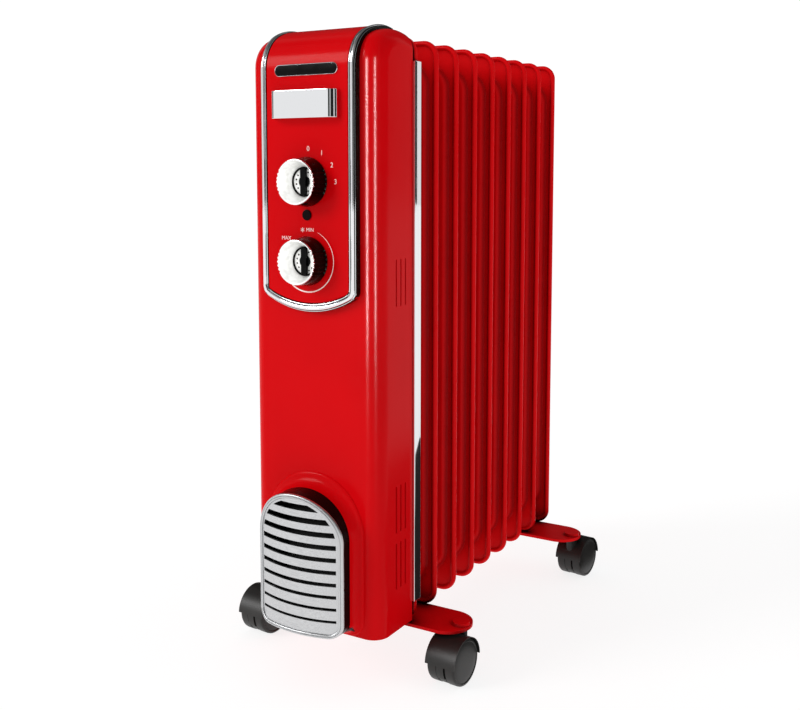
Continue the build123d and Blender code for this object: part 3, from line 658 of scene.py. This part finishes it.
# %% Helper: repeat along a line
def repeated(mesh, count, offset, finish):
    """The mesh repeated along a line by Geometry Nodes, given back as one plain mesh."""
    tree = bpy.data.node_groups.new("repeat_along_line", "GeometryNodeTree")
    interface = tree.interface
    interface.new_socket("Geometry", in_out="INPUT", socket_type="NodeSocketGeometry")
    number = interface.new_socket("Count", in_out="INPUT", socket_type="NodeSocketInt")
    step = interface.new_socket("Offset", in_out="INPUT", socket_type="NodeSocketVector")
    interface.new_socket("Geometry", in_out="OUTPUT", socket_type="NodeSocketGeometry")
    given = add(tree, "NodeGroupInput")
    line = add(
        tree,
        "GeometryNodeMeshLine",
        {"Count": given.outputs["Count"], "Offset": given.outputs["Offset"]},
        mode="OFFSET",
    )
    copies = add(
        tree,
        "GeometryNodeInstanceOnPoints",
        {"Points": line.outputs["Mesh"], "Instance": given.outputs["Geometry"]},
    )
    real = add(tree, "GeometryNodeRealizeInstances", {"Geometry": copies.outputs["Instances"]})
    painted = add(
        tree, "GeometryNodeSetMaterial", {"Geometry": real.outputs["Geometry"], "Material": finish}
    )
    add(tree, "NodeGroupOutput", {"Geometry": painted.outputs["Geometry"]})
    holder = bpy.data.objects.new("holder", mesh)
    bpy.context.scene.collection.objects.link(holder)
    modifier = holder.modifiers.new("repeat", "NODES")
    modifier.node_group = tree
    modifier[number.identifier] = count
    modifier[step.identifier] = tuple(offset)
    holder.update_tag()
    graph = bpy.context.evaluated_depsgraph_get()
    result = bpy.data.meshes.new_from_object(holder.evaluated_get(graph), depsgraph=graph)
    bpy.data.objects.remove(holder)
    return result


# %% Nine fins
one_fin = fin_mesh()
first_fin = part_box("fin_1")
first_y = (first_fin[0].y + first_fin[1].y) / 2
one_fin.transform(Matrix.Translation((0, first_y, FIN_MID_Z * MM)))
fins_mesh = repeated(one_fin, FIN_COUNT, (0, FIN_PITCH * MM, 0), enamel)
fins_mesh.name = "fins"
fin_nodes = [f"fin_{i + 1}" for i in range(FIN_COUNT)]
fins = settle("fins", fins_mesh, enamel, "root", fin_nodes, sharp=50)

# %% [markdown]
# ## The crown line
# Housing, fascia and trim all follow one line over the top of the heater: up the front,
# round a tight nose, then a long flat arc to the back. One function gives that line at any
# height above the housing's front, so that the pieces nest as they do in the CAD model.


# %% Helper: the crown line
CROWN_Z = 600.0
NOSE = 30.0
BACK = 68.0
TURN = math.radians(115)
HOUSING_DEPTH = 61.5


def at(x, y, z):
    """A point given in millimetres from the middle of the housing's front plane."""
    return Vector((x * MM, front + y * MM, z * MM))


def crown_line(proud, centre_z=CROWN_Z, nose_steps=14, back_steps=12):
    """(y, z) points from the nose's start to the rear of the housing."""
    nose, back = NOSE + proud, BACK + proud
    points = []
    for i in range(nose_steps + 1):
        angle = math.pi + (TURN - math.pi) * i / nose_steps
        points.append((NOSE + nose * math.cos(angle), centre_z + nose * math.sin(angle)))
    join_y, join_z = points[-1]
    back_y, back_z = join_y - back * math.cos(TURN), join_z - back * math.sin(TURN)
    end = math.acos((HOUSING_DEPTH - back_y) / back)
    for i in range(1, back_steps + 1):
        angle = TURN + (end - TURN) * i / back_steps
        points.append((back_y + back * math.cos(angle), back_z + back * math.sin(angle)))
    return points


# %% [markdown]
# ## Chrome trim
# The frame round the control panel is moulded ABS with chrome plate. Its section is a
# stack of beads and grooves. The grooves and both edges take a near black chrome as painted
# dark reflection, so one strip of metal shows several bright and dark lines. It is swept up
# one side, over the crown, and across a downward bow.

# %% Helper: the trim's path
FASCIA_HALF = 46.2
TRIM_HALF = 54.2
TRIM_LOW = 371.5
FASCIA_LOW = 380.4
BOW = (FASCIA_HALF**2 + 11.7**2) / (2 * 11.7)
TRIM_SECTION = [
    (0.0, -1.0), (0.0, 5.6), (0.02, 6.4), (0.06, 7.0), (0.12, 7.2), (0.16, 6.9), (0.18, 6.9),
    (0.2, 8.0), (0.25, 8.8), (0.34, 9.15), (0.44, 9.2), (0.54, 9.1), (0.61, 8.7), (0.65, 8.0),
    (0.67, 7.0), (0.71, 6.9), (0.73, 7.9), (0.77, 8.5), (0.83, 8.6), (0.88, 8.3), (0.9, 7.4),
    (0.9, 5.0), (0.9, -1.0),
]


def trim_path(across, proud):
    """One lengthwise line of the trim. Across is 0 at its outer edge and 1 at the fascia."""
    x = TRIM_HALF - across * (TRIM_HALF - FASCIA_HALF)
    low = TRIM_LOW + across * (FASCIA_LOW - TRIM_LOW)

    def bow_z(at_x):
        return low + BOW - math.sqrt(BOW**2 - at_x**2)

    right = [(x, y, z) for y, z in reversed(crown_line(proud))]
    right += [(x, -proud, z) for z in np.linspace(590, bow_z(x) + 9, 8)]
    corner = [(x, bow_z(x) + 6), (x, bow_z(x)), (x - 6, bow_z(x - 6))]
    for i in range(7):
        t = i / 6
        weights = ((1 - t) ** 2, 2 * t * (1 - t), t * t)
        px, pz = (sum(w * c[k] for w, c in zip(weights, corner)) for k in (0, 1))
        right.append((px, -proud, pz))
    right += [(px, -proud, bow_z(px)) for px in np.linspace(x - 8, 2, 14)]
    return right + [(-px, y, z) for px, y, z in reversed(right)]


# %% Chrome trim
lines = [trim_path(a, p) for a, p in TRIM_SECTION]
rings = [[at(*line[j]) for line in lines] for j in range(len(lines[0]))]
points = [p for ring in rings for p in ring]
count = len(TRIM_SECTION)
faces = ring_faces(count, len(rings))
faces += [tuple(range(count)), tuple(range(len(points) - count, len(points)))]
trim_mesh = mesh_from("trim", points, faces)
trim = settle("panel_trim", trim_mesh, chrome, "root", ("chrome_trim",), 60)
trim.data.materials.append(dark_reflection_chrome)
# Painted reflection: bands across the trim at its edges and grooves take the dark chrome.
PAINTED_DARK_REFLECTION_LINES = [(-0.1, 0.07), (0.13, 0.19), (0.65, 0.71), (0.885, 1.1)]
for face in trim.data.polygons:
    x, z = abs(face.center.x) / MM, face.center.z / MM
    aside = (TRIM_HALF - x) / (TRIM_HALF - FASCIA_HALF)
    if x < TRIM_HALF and z < 470:
        upward = z - (TRIM_LOW + BOW - math.sqrt(BOW**2 - x**2))
        aside = min(aside, upward / (FASCIA_LOW - TRIM_LOW))
    if any(low < aside < high for low, high in PAINTED_DARK_REFLECTION_LINES):
        face.material_index = 1
print("trim with", len(PAINTED_DARK_REFLECTION_LINES), "dark lines")

# %% [markdown]
# ## Knobs
# Each knob is a flared chromed ring with finger flutes left and right, round a deep satin
# bowl. Small dark studs stand on the bowl's floor, inside a black ring crossed by a raised
# bar. The bar is what the fingers turn, and its line is the pointer.

# %% Helpers for the knobs
SELECTOR_Z = 495.0
THERMOSTAT_Z = 420.3
KNOB_STEPS = 288
KNOB_BACK = -8.5
KNOB_FRONT = -28.0
BOWL_FLOOR = KNOB_FRONT + 16.2
FLUTE_PITCH = math.radians(10.5)
FLUTE_SPAN = math.radians(34)
KNOB_SECTION = [
    # radius, y, flute depth
    (6.0, BOWL_FLOOR, 0.0),
    (12.0, BOWL_FLOOR, 0.0),
    (13.9, BOWL_FLOOR, 0.0),
    (14.0, BOWL_FLOOR - 0.1, 0.0),
    (16.6, KNOB_FRONT + 8.4, 0.0),
    (19.3, KNOB_FRONT + 1.5, 0.0),
    (19.7, KNOB_FRONT + 0.5, 0.0),
    (20.1, KNOB_FRONT + 0.1, 0.3),
    (20.5, KNOB_FRONT, 0.7),
    (20.9, KNOB_FRONT + 0.1, 1.0),
    (21.3, KNOB_FRONT + 0.6, 1.0),
    (21.5, KNOB_FRONT + 1.5, 1.0),
    (22.3, KNOB_FRONT + 10.0, 1.0),
    (23.2, KNOB_BACK - 1.4, 1.0),
    (23.4, KNOB_BACK - 0.7, 0.0),
    (23.2, KNOB_BACK, 0.0),
    (21.6, KNOB_BACK, 0.0),
    (18.8, KNOB_FRONT + 4.0, 0.0),
    (15.8, BOWL_FLOOR + 1.8, 0.0),
    (6.0, BOWL_FLOOR + 1.8, 0.0),
]


def knob_cap(name, z):
    points = []
    for radius, y, fluted in KNOB_SECTION:
        for i in range(KNOB_STEPS):
            angle = 2 * math.pi * i / KNOB_STEPS
            side = min(abs(angle), abs(angle - math.pi), abs(angle - 2 * math.pi))
            r = radius
            if side < FLUTE_SPAN:
                r -= fluted * 1.2 * (0.5 - 0.5 * math.cos(2 * math.pi * side / FLUTE_PITCH))
            points.append(at(r * math.cos(angle), y, z + r * math.sin(angle)))
    faces = ring_faces(KNOB_STEPS, len(KNOB_SECTION), looped=True)
    mesh = mesh_from(name + "_ring", points, faces)
    ring = settle(name + "_ring", mesh, chrome, name, (name + "_cap",), 40)
    ring.data.materials.append(satin)
    ring.data.materials.append(dark_reflection_chrome)
    middle = at(0, 0, z)
    # Satin lines the bowl; the fluted outer side takes the dark chrome as painted reflection.
    for face in ring.data.polygons:
        radius = math.hypot(face.center.x - middle.x, face.center.z - middle.z) / MM
        y = (face.center.y - front) / MM
        if y < BOWL_FLOOR + 0.2 and radius < 20.6:
            face.material_index = 1
        elif radius > 20.6 and y > KNOB_FRONT + 1.2:
            face.material_index = 2
    return ring


def studs(name, z):
    """Dark pins round the bowl's floor, one mesh."""
    form = bmesh.new()
    for i in range(14):
        turn = 2 * math.pi * (i + 0.5) / 14
        place = Matrix.Translation(
            at(9.6 * math.cos(turn), BOWL_FLOOR + 0.2, z + 9.6 * math.sin(turn))
        ) @ Matrix.Diagonal((1, 0.5, 1, 1))
        bmesh.ops.create_uvsphere(form, u_segments=16, v_segments=8, radius=1.0 * MM, matrix=place)
    mesh = bpy.data.meshes.new(name + "_studs")
    form.to_mesh(mesh)
    form.free()
    return settle(name + "_studs", mesh, black_and_painted_shade, name, ())


# %% [markdown]
# A small lamp stands to the right of the knobs and lights them alone, so that the flutes
# sparkle and the red panel stays even.

# %% Knobs
knob_glow = bpy.data.collections.new("knob_glow")
for name, z in (("selector_knob", SELECTOR_Z), ("thermostat_knob", THERMOSTAT_Z)):
    knob_glow.objects.link(knob_cap(name, z))
    softened(name + "_insert", 0.4)
    studs(name, z)
knob_lamp = softbox("knob_lamp", (1.1, front - 0.75, 0.55), (0, front, 0.46), (0.5, 0.5), 11)
knob_lamp.light_linking.receiver_collection = knob_glow
print("knobs lit by", knob_lamp.name)

# %% [markdown]
# ## Printed marks
# The panel is pad printed after moulding: off and three steps beside the selector, and a
# frost star, MIN, MAX and a growing arc round the thermostat. The ink film is some
# hundredths of a millimetre thick and lies on the fascia.

# %% Helpers for printing
FASCIA_PROUD = 8.0
INK = 0.04
mark_meshes = []


def printed_text(words, height, x, z, turn=0.0):
    """Text of that cap height in millimetres, centred at x, z on the fascia."""
    curve = bpy.data.curves.new(words, "FONT")
    curve.body = words
    curve.size = height / 0.73 * MM
    curve.align_x, curve.align_y = "CENTER", "CENTER"
    curve.extrude = INK / 2 * MM
    holder = bpy.data.objects.new(words, curve)
    bpy.context.scene.collection.objects.link(holder)
    graph = bpy.context.evaluated_depsgraph_get()
    mesh = bpy.data.meshes.new_from_object(holder.evaluated_get(graph), depsgraph=graph)
    bpy.data.objects.remove(holder)
    mesh.transform(
        Matrix.Translation(at(x, -FASCIA_PROUD - INK / 2, z))
        @ Matrix.Rotation(math.radians(turn), 4, "Y")
        @ Matrix.Rotation(math.radians(90), 4, "X")
    )
    mark_meshes.append(mesh)


def printed_outline(points):
    """A flat inked shape given by its x, z corners."""
    front_y, back_y = -FASCIA_PROUD - INK, -FASCIA_PROUD
    count = len(points)
    solid = [at(x, y, z) for y in (front_y, back_y) for x, z in points]
    faces = ring_faces(count, 2) + [tuple(range(count)), tuple(range(count, 2 * count))]
    mark_meshes.append(mesh_from("shape", solid, faces))


def about(z, radius, degrees):
    """A point round a dial, with degrees clockwise from the top."""
    angle = math.radians(degrees)
    return radius * math.sin(angle), z + radius * math.cos(angle)


def stroke(x0, z0, x1, z1, width):
    length = math.hypot(x1 - x0, z1 - z0)
    nx, nz = -(z1 - z0) / length * width / 2, (x1 - x0) / length * width / 2
    corners = [(x0, z0, 1), (x1, z1, 1), (x1, z1, -1), (x0, z0, -1)]
    printed_outline([(x + side * nx, z + side * nz) for x, z, side in corners])


# %% Dial marks
for words, turn in (("0", 0), ("1", 30), ("2", 60), ("3", 90)):
    x, z = about(SELECTOR_Z, 30.8, turn)
    printed_text(words, 4.8, x + 1.6, z)
printed_text("MIN", 3.6, 3.0, THERMOSTAT_Z + 29.4)
printed_text("MAX", 3.8, -24.6, THERMOSTAT_Z + 21.0)
star_x, star_z = -5.6, THERMOSTAT_Z + 29.4
for turn in (0, 60, 120):
    dx, dz = 2.2 * math.sin(math.radians(turn)), 2.2 * math.cos(math.radians(turn))
    stroke(star_x - dx, star_z - dz, star_x + dx, star_z + dz, 0.55)
ARC_RADIUS = 29.6
arc_outer, arc_inner = [], []
for i in range(61):
    turn = 24 + (292 - 24) * i / 60
    half = 0.15 + 0.75 * i / 60
    arc_outer.append(about(THERMOSTAT_Z, ARC_RADIUS + half, turn))
    arc_inner.append(about(THERMOSTAT_Z, ARC_RADIUS - half, turn))
count = len(arc_outer)
arc_points = [
    at(x, y, z) for y in (-FASCIA_PROUD - INK, -FASCIA_PROUD) for x, z in arc_outer + arc_inner
]
arc_faces = []
for i in range(count - 1):
    arc_faces.append((i, i + 1, count + i + 1, count + i))
    arc_faces.append((2 * count + i, 2 * count + i + 1, 3 * count + i + 1, 3 * count + i))
    arc_faces.append((i, i + 1, 2 * count + i + 1, 2 * count + i))
    arc_faces.append((count + i, count + i + 1, 3 * count + i + 1, 3 * count + i))
for end in (0, count - 1):
    arc_faces.append((end, count + end, 3 * count + end, 2 * count + end))
mark_meshes.append(mesh_from("arc", arc_points, arc_faces))

form = bmesh.new()
for mesh in mark_meshes:
    form.from_mesh(mesh)
marks_mesh = bpy.data.meshes.new("dial_marks")
form.to_mesh(marks_mesh)
form.free()
marks = settle("dial_marks", marks_mesh, ink, "root", ())
print("printed", len(mark_meshes), "marks")

# %% [markdown]
# ## Grille
# The grille at the foot of the housing is pressed brushed metal, bowed outward, held in an
# arched rim. The rim is drawn as a section swept round the arch: a rounded outer edge, a
# fine groove and a rolled inner band.

# %% Helpers for the grille
GRILLE_HALF = 49.0
GRILLE_LOW, GRILLE_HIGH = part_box("grille_rim")[0].z / MM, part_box("grille_rim")[1].z / MM
GRILLE_SPRING = 155.0
RIM_CORNER = 14.0
BOW_RADIUS = 110.0
RIM_SECTION = [
    # inset from the outline, depth behind the bowed front
    (0.0, None), (0.0, 2.2), (0.12, 1.2), (0.5, 0.45), (1.1, 0.05), (1.7, 0.1), (2.0, 0.5),
    (2.2, 1.0), (2.45, 0.5), (2.8, 0.1), (3.5, 0.1), (4.0, 0.5), (4.3, 1.2), (4.4, 3.0),
    (4.4, None),
]


def arch_ring(inset):
    """x, z points round the grille's outline, drawn in by inset."""
    half, rise = GRILLE_HALF - inset, GRILLE_HIGH - GRILLE_SPRING - inset
    low, corner = GRILLE_LOW + inset, RIM_CORNER - inset
    ring = []
    for i in range(13):
        angle = math.pi / 2 * i / 12
        z = low + corner - corner * math.cos(angle)
        ring.append((half - corner + corner * math.sin(angle), z))
    ring += [(half, z) for z in np.linspace(low + corner + 8, GRILLE_SPRING - 8, 6)]
    for i in range(49):
        angle = math.pi * i / 48
        ring.append((half * math.cos(angle), GRILLE_SPRING + rise * math.sin(angle)))
    ring += [(-half, z) for z in np.linspace(GRILLE_SPRING - 8, low + corner + 8, 6)]
    for i in range(13):
        angle = math.pi / 2 * (1 - i / 12)
        z = low + corner - corner * math.cos(angle)
        ring.append((-half + corner - corner * math.sin(angle), z))
    ring += [(x, low) for x in np.linspace(-half + corner + 6, half - corner - 6, 9)]
    return ring


def bow_depth(x):
    return -36.0 + BOW_RADIUS - math.sqrt(BOW_RADIUS**2 - x * x)


# %% Grille
rim_rings = []
for inset, depth in RIM_SECTION:
    outline = arch_ring(inset)
    y_of = (lambda x: -14.0) if depth is None else (lambda x, d=depth: bow_depth(x) + d)
    rim_rings.append([at(x, y_of(x), z) for x, z in outline])
count = len(rim_rings[0])
faces = ring_faces(count, len(rim_rings), looped=True)
points = [p for ring in rim_rings for p in ring]
grille_mesh = mesh_from("grille_frame", points, faces)
grille = settle(
    "grille_frame", grille_mesh, brushed, "root", ("grille_rim",), 45
)
grille.data.materials.append(black_and_painted_shade)
# Painted shade: the rim's skirt behind its front is black, standing for the shadow beside the rim.
for face in grille.data.polygons:
    depth = (face.center.y - front) / MM - bow_depth(face.center.x / MM)
    if depth > 2.4:
        face.material_index = 1
softened("grille_slats", 0.3)
print("grille rim with", count, "points round")

# %% [markdown]
# ## Swell round the grille
# The housing swells out in an arch to meet the grille. The swell starts as a soft step,
# rises slowly and then turns steeply under the rim. What lies inside the grille is painted
# black as painted shade, so that the openings between the slats read as holes.

# %% Helper: the swell's outline
BOSS_HALF, BOSS_LOW, BOSS_SPRING = 57.0, 58.2, 157.5
BOSS_SECTION = [
    # share of the way from the boss's outline to the grille's, height over the housing
    (0.0, 0.0), (0.0, 0.5), (0.05, 1.1), (0.12, 1.7), (0.2, 2.0), (0.32, 2.25), (0.5, 2.8),
    (0.7, 4.0), (0.85, 6.0), (0.94, 8.5), (0.99, 11.0), (1.0, 13.0), (1.3, 13.2), (1.3, 0.0),
]


def boss_outline(share):
    """x, z points round the boss, from its own arch to the grille's."""
    inner = arch_ring(-0.3)
    ring = []
    for x, z in inner:
        if z > GRILLE_SPRING:
            turn = math.atan2((z - GRILLE_SPRING) / 46.3, x / 49.3)
            ox, oz = BOSS_HALF * math.cos(turn), BOSS_SPRING + BOSS_HALF * math.sin(turn)
        else:
            reach = (z - inner[-1][1]) / (GRILLE_SPRING - inner[-1][1])
            oz = BOSS_LOW + reach * (BOSS_SPRING - BOSS_LOW)
            ox = x * BOSS_HALF / 49.3
        ring.append((ox + (x - ox) * share, oz + (z - oz) * share))
    return ring


# %% Swell round the grille
boss_rings = []
for share, proud in BOSS_SECTION:
    line = arch_ring(5.5) if share > 1 else boss_outline(share)
    boss_rings.append([at(x, -proud, z) for x, z in line])
count = len(boss_rings[0])
faces = ring_faces(count, len(boss_rings), looped=True)
points = [p for ring in boss_rings for p in ring]
boss_mesh = mesh_from("grille_swell", points, faces)
boss = settle(
    "grille_swell", boss_mesh, gloss_abs, "root", ("grille_boss",), 60
)
boss.data.materials.append(black_and_painted_shade)
# Painted shade: faces of the swell inside the grille's outline take the black.
for face in boss.data.polygons:
    x, z = face.center.x / MM, face.center.z / MM
    over = max(z - GRILLE_SPRING, 0) / (GRILLE_HIGH - GRILLE_SPRING - 1)
    aside = abs(x) / (GRILLE_HALF - 1)
    if aside < 1 and z > GRILLE_LOW + 1 and aside**2 * (over > 0) + over**2 < 1:
        face.material_index = 1
print("swell black inside the grille")

# %% [markdown]
# ## Casters
# Twin wheel casters are moulded nylon: a hood over a web that holds the axle, and two
# shallow wheels with a smooth domed face. The wheels are turned sections with a crease
# between the tread and the dome. A disc fills the space between the two wheels, so that
# the pair reads as one barrel.

# %% Helpers for the casters
WHEEL_STEPS = 96
WHEEL_SECTION = [
    # distance from the caster's middle, radius
    (14.2, 0.0), (14.2, 3.05), (4.4, 3.05), (4.4, 21.8), (4.7, 22.8), (5.6, 23.5), (12.9, 23.5),
    (14.2, 23.3), (15.1, 22.7), (15.6, 21.7), (15.7, 20.9), (15.3, 20.5), (15.05, 20.2),
    (15.15, 19.8), (15.5, 18.8), (15.85, 16.0), (16.05, 12.0), (16.15, 7.0), (16.2, 0.0),
]
CASTER_TRAIL = 15.6
WHEEL_RADIUS = 23.5
SWIVEL = {"front": 176.0, "rear": -6.0}


def caster_place(corner):
    """Where a caster's stem meets the floor, turned to its own heading."""
    joint = next(j for j in frame["joints"] if j["child"] == "caster_" + corner)
    x0, y0, _ = joint["pos_m"]
    heading = math.radians(SWIVEL[corner.split("_")[0]])
    return Matrix.Translation((x0, y0, 0)) @ Matrix.Rotation(heading, 4, "Z")


def wheel(name, corner, side):
    place = caster_place(corner)
    points = []
    for across, radius in WHEEL_SECTION:
        for i in range(WHEEL_STEPS):
            angle = 2 * math.pi * i / WHEEL_STEPS
            local = (
                side * across * MM,
                (CASTER_TRAIL + radius * math.cos(angle)) * MM,
                (WHEEL_RADIUS + radius * math.sin(angle)) * MM,
            )
            points.append(place @ Vector(local))
    faces = ring_faces(WHEEL_STEPS, len(WHEEL_SECTION))
    mesh = mesh_from(name, points, faces)
    settle(name + "_turned", mesh, nylon, name, (name,), 35)


CORE_SECTION = [(-4.0, 3.2), (-4.0, 22.6), (-3.5, 23.1), (3.5, 23.1), (4.0, 22.6), (4.0, 3.2)]


def core(corner):
    """The disc between the two wheels, part of the hood's moulding."""
    place = caster_place(corner)
    points = []
    for across, radius in CORE_SECTION:
        for i in range(WHEEL_STEPS):
            angle = 2 * math.pi * i / WHEEL_STEPS
            y, z = CASTER_TRAIL + radius * math.cos(angle), WHEEL_RADIUS + radius * math.sin(angle)
            points.append(place @ Vector((across * MM, y * MM, z * MM)))
    faces = ring_faces(WHEEL_STEPS, len(CORE_SECTION), looped=True)
    body = "caster_" + corner
    mesh = mesh_from(body + "_core", points, faces)
    settle(body + "_core", mesh, nylon, body, (), 35)


# %% Casters
for corner in ("front_right", "front_left", "rear_right", "rear_left"):
    core(corner)
    wheel(f"wheel_{corner}_1", corner, -1)
    wheel(f"wheel_{corner}_2", corner, 1)
    softened("caster_hood_" + corner, 0.5, sharp=30)
print("casters at", list(SWIVEL.values()), "degrees, front and rear")

# %% [markdown]
# ## Housing and fascia
# Both keep their CAD shape with the edges broken. The housing's inner walls are painted
# dull dark red as painted shade, so that no bright red shows through the vents.

# %% Housing and fascia
housing = softened("housing", 0.3, sharp=40)
# Painted shade: inward facing walls and the inside of the back take the dark inside colour.
housing.data.materials.append(shade)
low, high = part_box("housing")
for face in housing.data.polygons:
    middle = face.center
    inside_x = abs(middle.x) < high.x - 0.0021
    outward = face.normal.x * middle.x > 0
    if abs(face.normal.x) > 0.9 and not outward:
        face.material_index = 1
    elif low.y + 0.0015 < middle.y and inside_x and face.normal.y > 0.5:
        face.material_index = 1
softened("fascia", 0.5, sharp=40)
print("housing with a dark inside")

# %% [markdown]
# Two softboxes draw the pair of soft bands down the housing's rounded corner. They light
# the housing alone, so that the chrome keeps its own reflections.

# %% Corner softboxes
glow = bpy.data.collections.new("corner_glow")
glow.objects.link(housing)
CORNER_LAMPS = [("corner_wide", -8, 0.5, 300), ("corner_narrow", 46, 0.4, 215)]
for name, bearing_deg, wide, power in CORNER_LAMPS:
    turn = math.radians(bearing_deg)
    centre = (0.06 + 2.2 * math.sin(turn), front - 2.2 * math.cos(turn), 0.55)
    lamp = softbox(name, centre, (0.06, front, 0.42), (wide, 1.3), power)
    lamp.visible_diffuse = False
    lamp.light_linking.receiver_collection = glow

# %% [markdown]
# ## Badge
# The badge is a lying pill: a thin chromed rim round a gloss black plate. The plate is
# left blank.


# %% Helpers for the badge
def pill_ring(half, tall, inset, z, y):
    """Points round a lying pill, on the fascia's front."""
    radius = tall / 2 - inset
    ring = []
    for side in (1, -1):
        for i in range(25):
            angle = -math.pi / 2 + math.pi * i / 24
            x = side * (half - tall / 2 + radius * math.cos(angle))
            ring.append(at(x, y, z + side * radius * math.sin(angle)))
    return ring


def pill_mesh(name, section):
    rings = [pill_ring(35.8, 11.0, inset, 599.0, -8.0 - proud) for inset, proud in section]
    count = len(rings[0])
    faces = ring_faces(count, len(rings))
    points = [p for ring in rings for p in ring]
    return mesh_from(name, points, faces), count


# %% Badge
BADGE_RIM = [(0, 0), (0, 0.9), (0.15, 1.2), (0.4, 1.35), (0.65, 1.2), (0.8, 0.9), (0.8, 0)]
rim_mesh, count = pill_mesh("badge_rim", BADGE_RIM)
settle("badge_bezel", rim_mesh, chrome, "root", ("badge_rim",), 50)
plate_mesh, count = pill_mesh("badge_plate", [(0.85, 0), (0.85, 0.8), (1.1, 1.0), (5.0, 1.1)])
form = bmesh.new()
form.from_mesh(plate_mesh)
form.verts.ensure_lookup_table()
form.faces.new(form.verts[-count:])
form.to_mesh(plate_mesh)
form.free()
settle("badge_face", plate_mesh, black_and_painted_shade, "root", ("badge_plate",), 50)
print("badge rim with", count, "points round")

# %% [markdown]
# ## Carried-over pieces
# The pull block, side strips, lamp lens, foot plates and header collars keep their CAD
# shape, and get their edges broken so that they catch light. What is left is inside or
# underneath, and takes a finish alone.

# %% Carried-over pieces
softened("pull_grip", 0.6, sharp=30)
softened("chrome_strips", 0.8, sharp=40)
softened("lamp_lens", 0.6)
for name in ("foot_plate_front", "foot_plate_rear"):
    softened(name, 0.7, segments=3, sharp=30)
for name in ("lower_header_collars", "upper_header_collars"):
    softened(name, 0.4, sharp=30)

# %% Finishes of the plain nodes
plain = [n for n in nodes if not any(n in (o.get("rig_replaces") or []) for o in bpy.data.objects)]
for name in plain:
    nodes[name].data.materials.clear()
    nodes[name].data.materials.append(FINISH_OF_SLOT[slot_of[name]])
print("CAD nodes with a finish only:", len(plain))
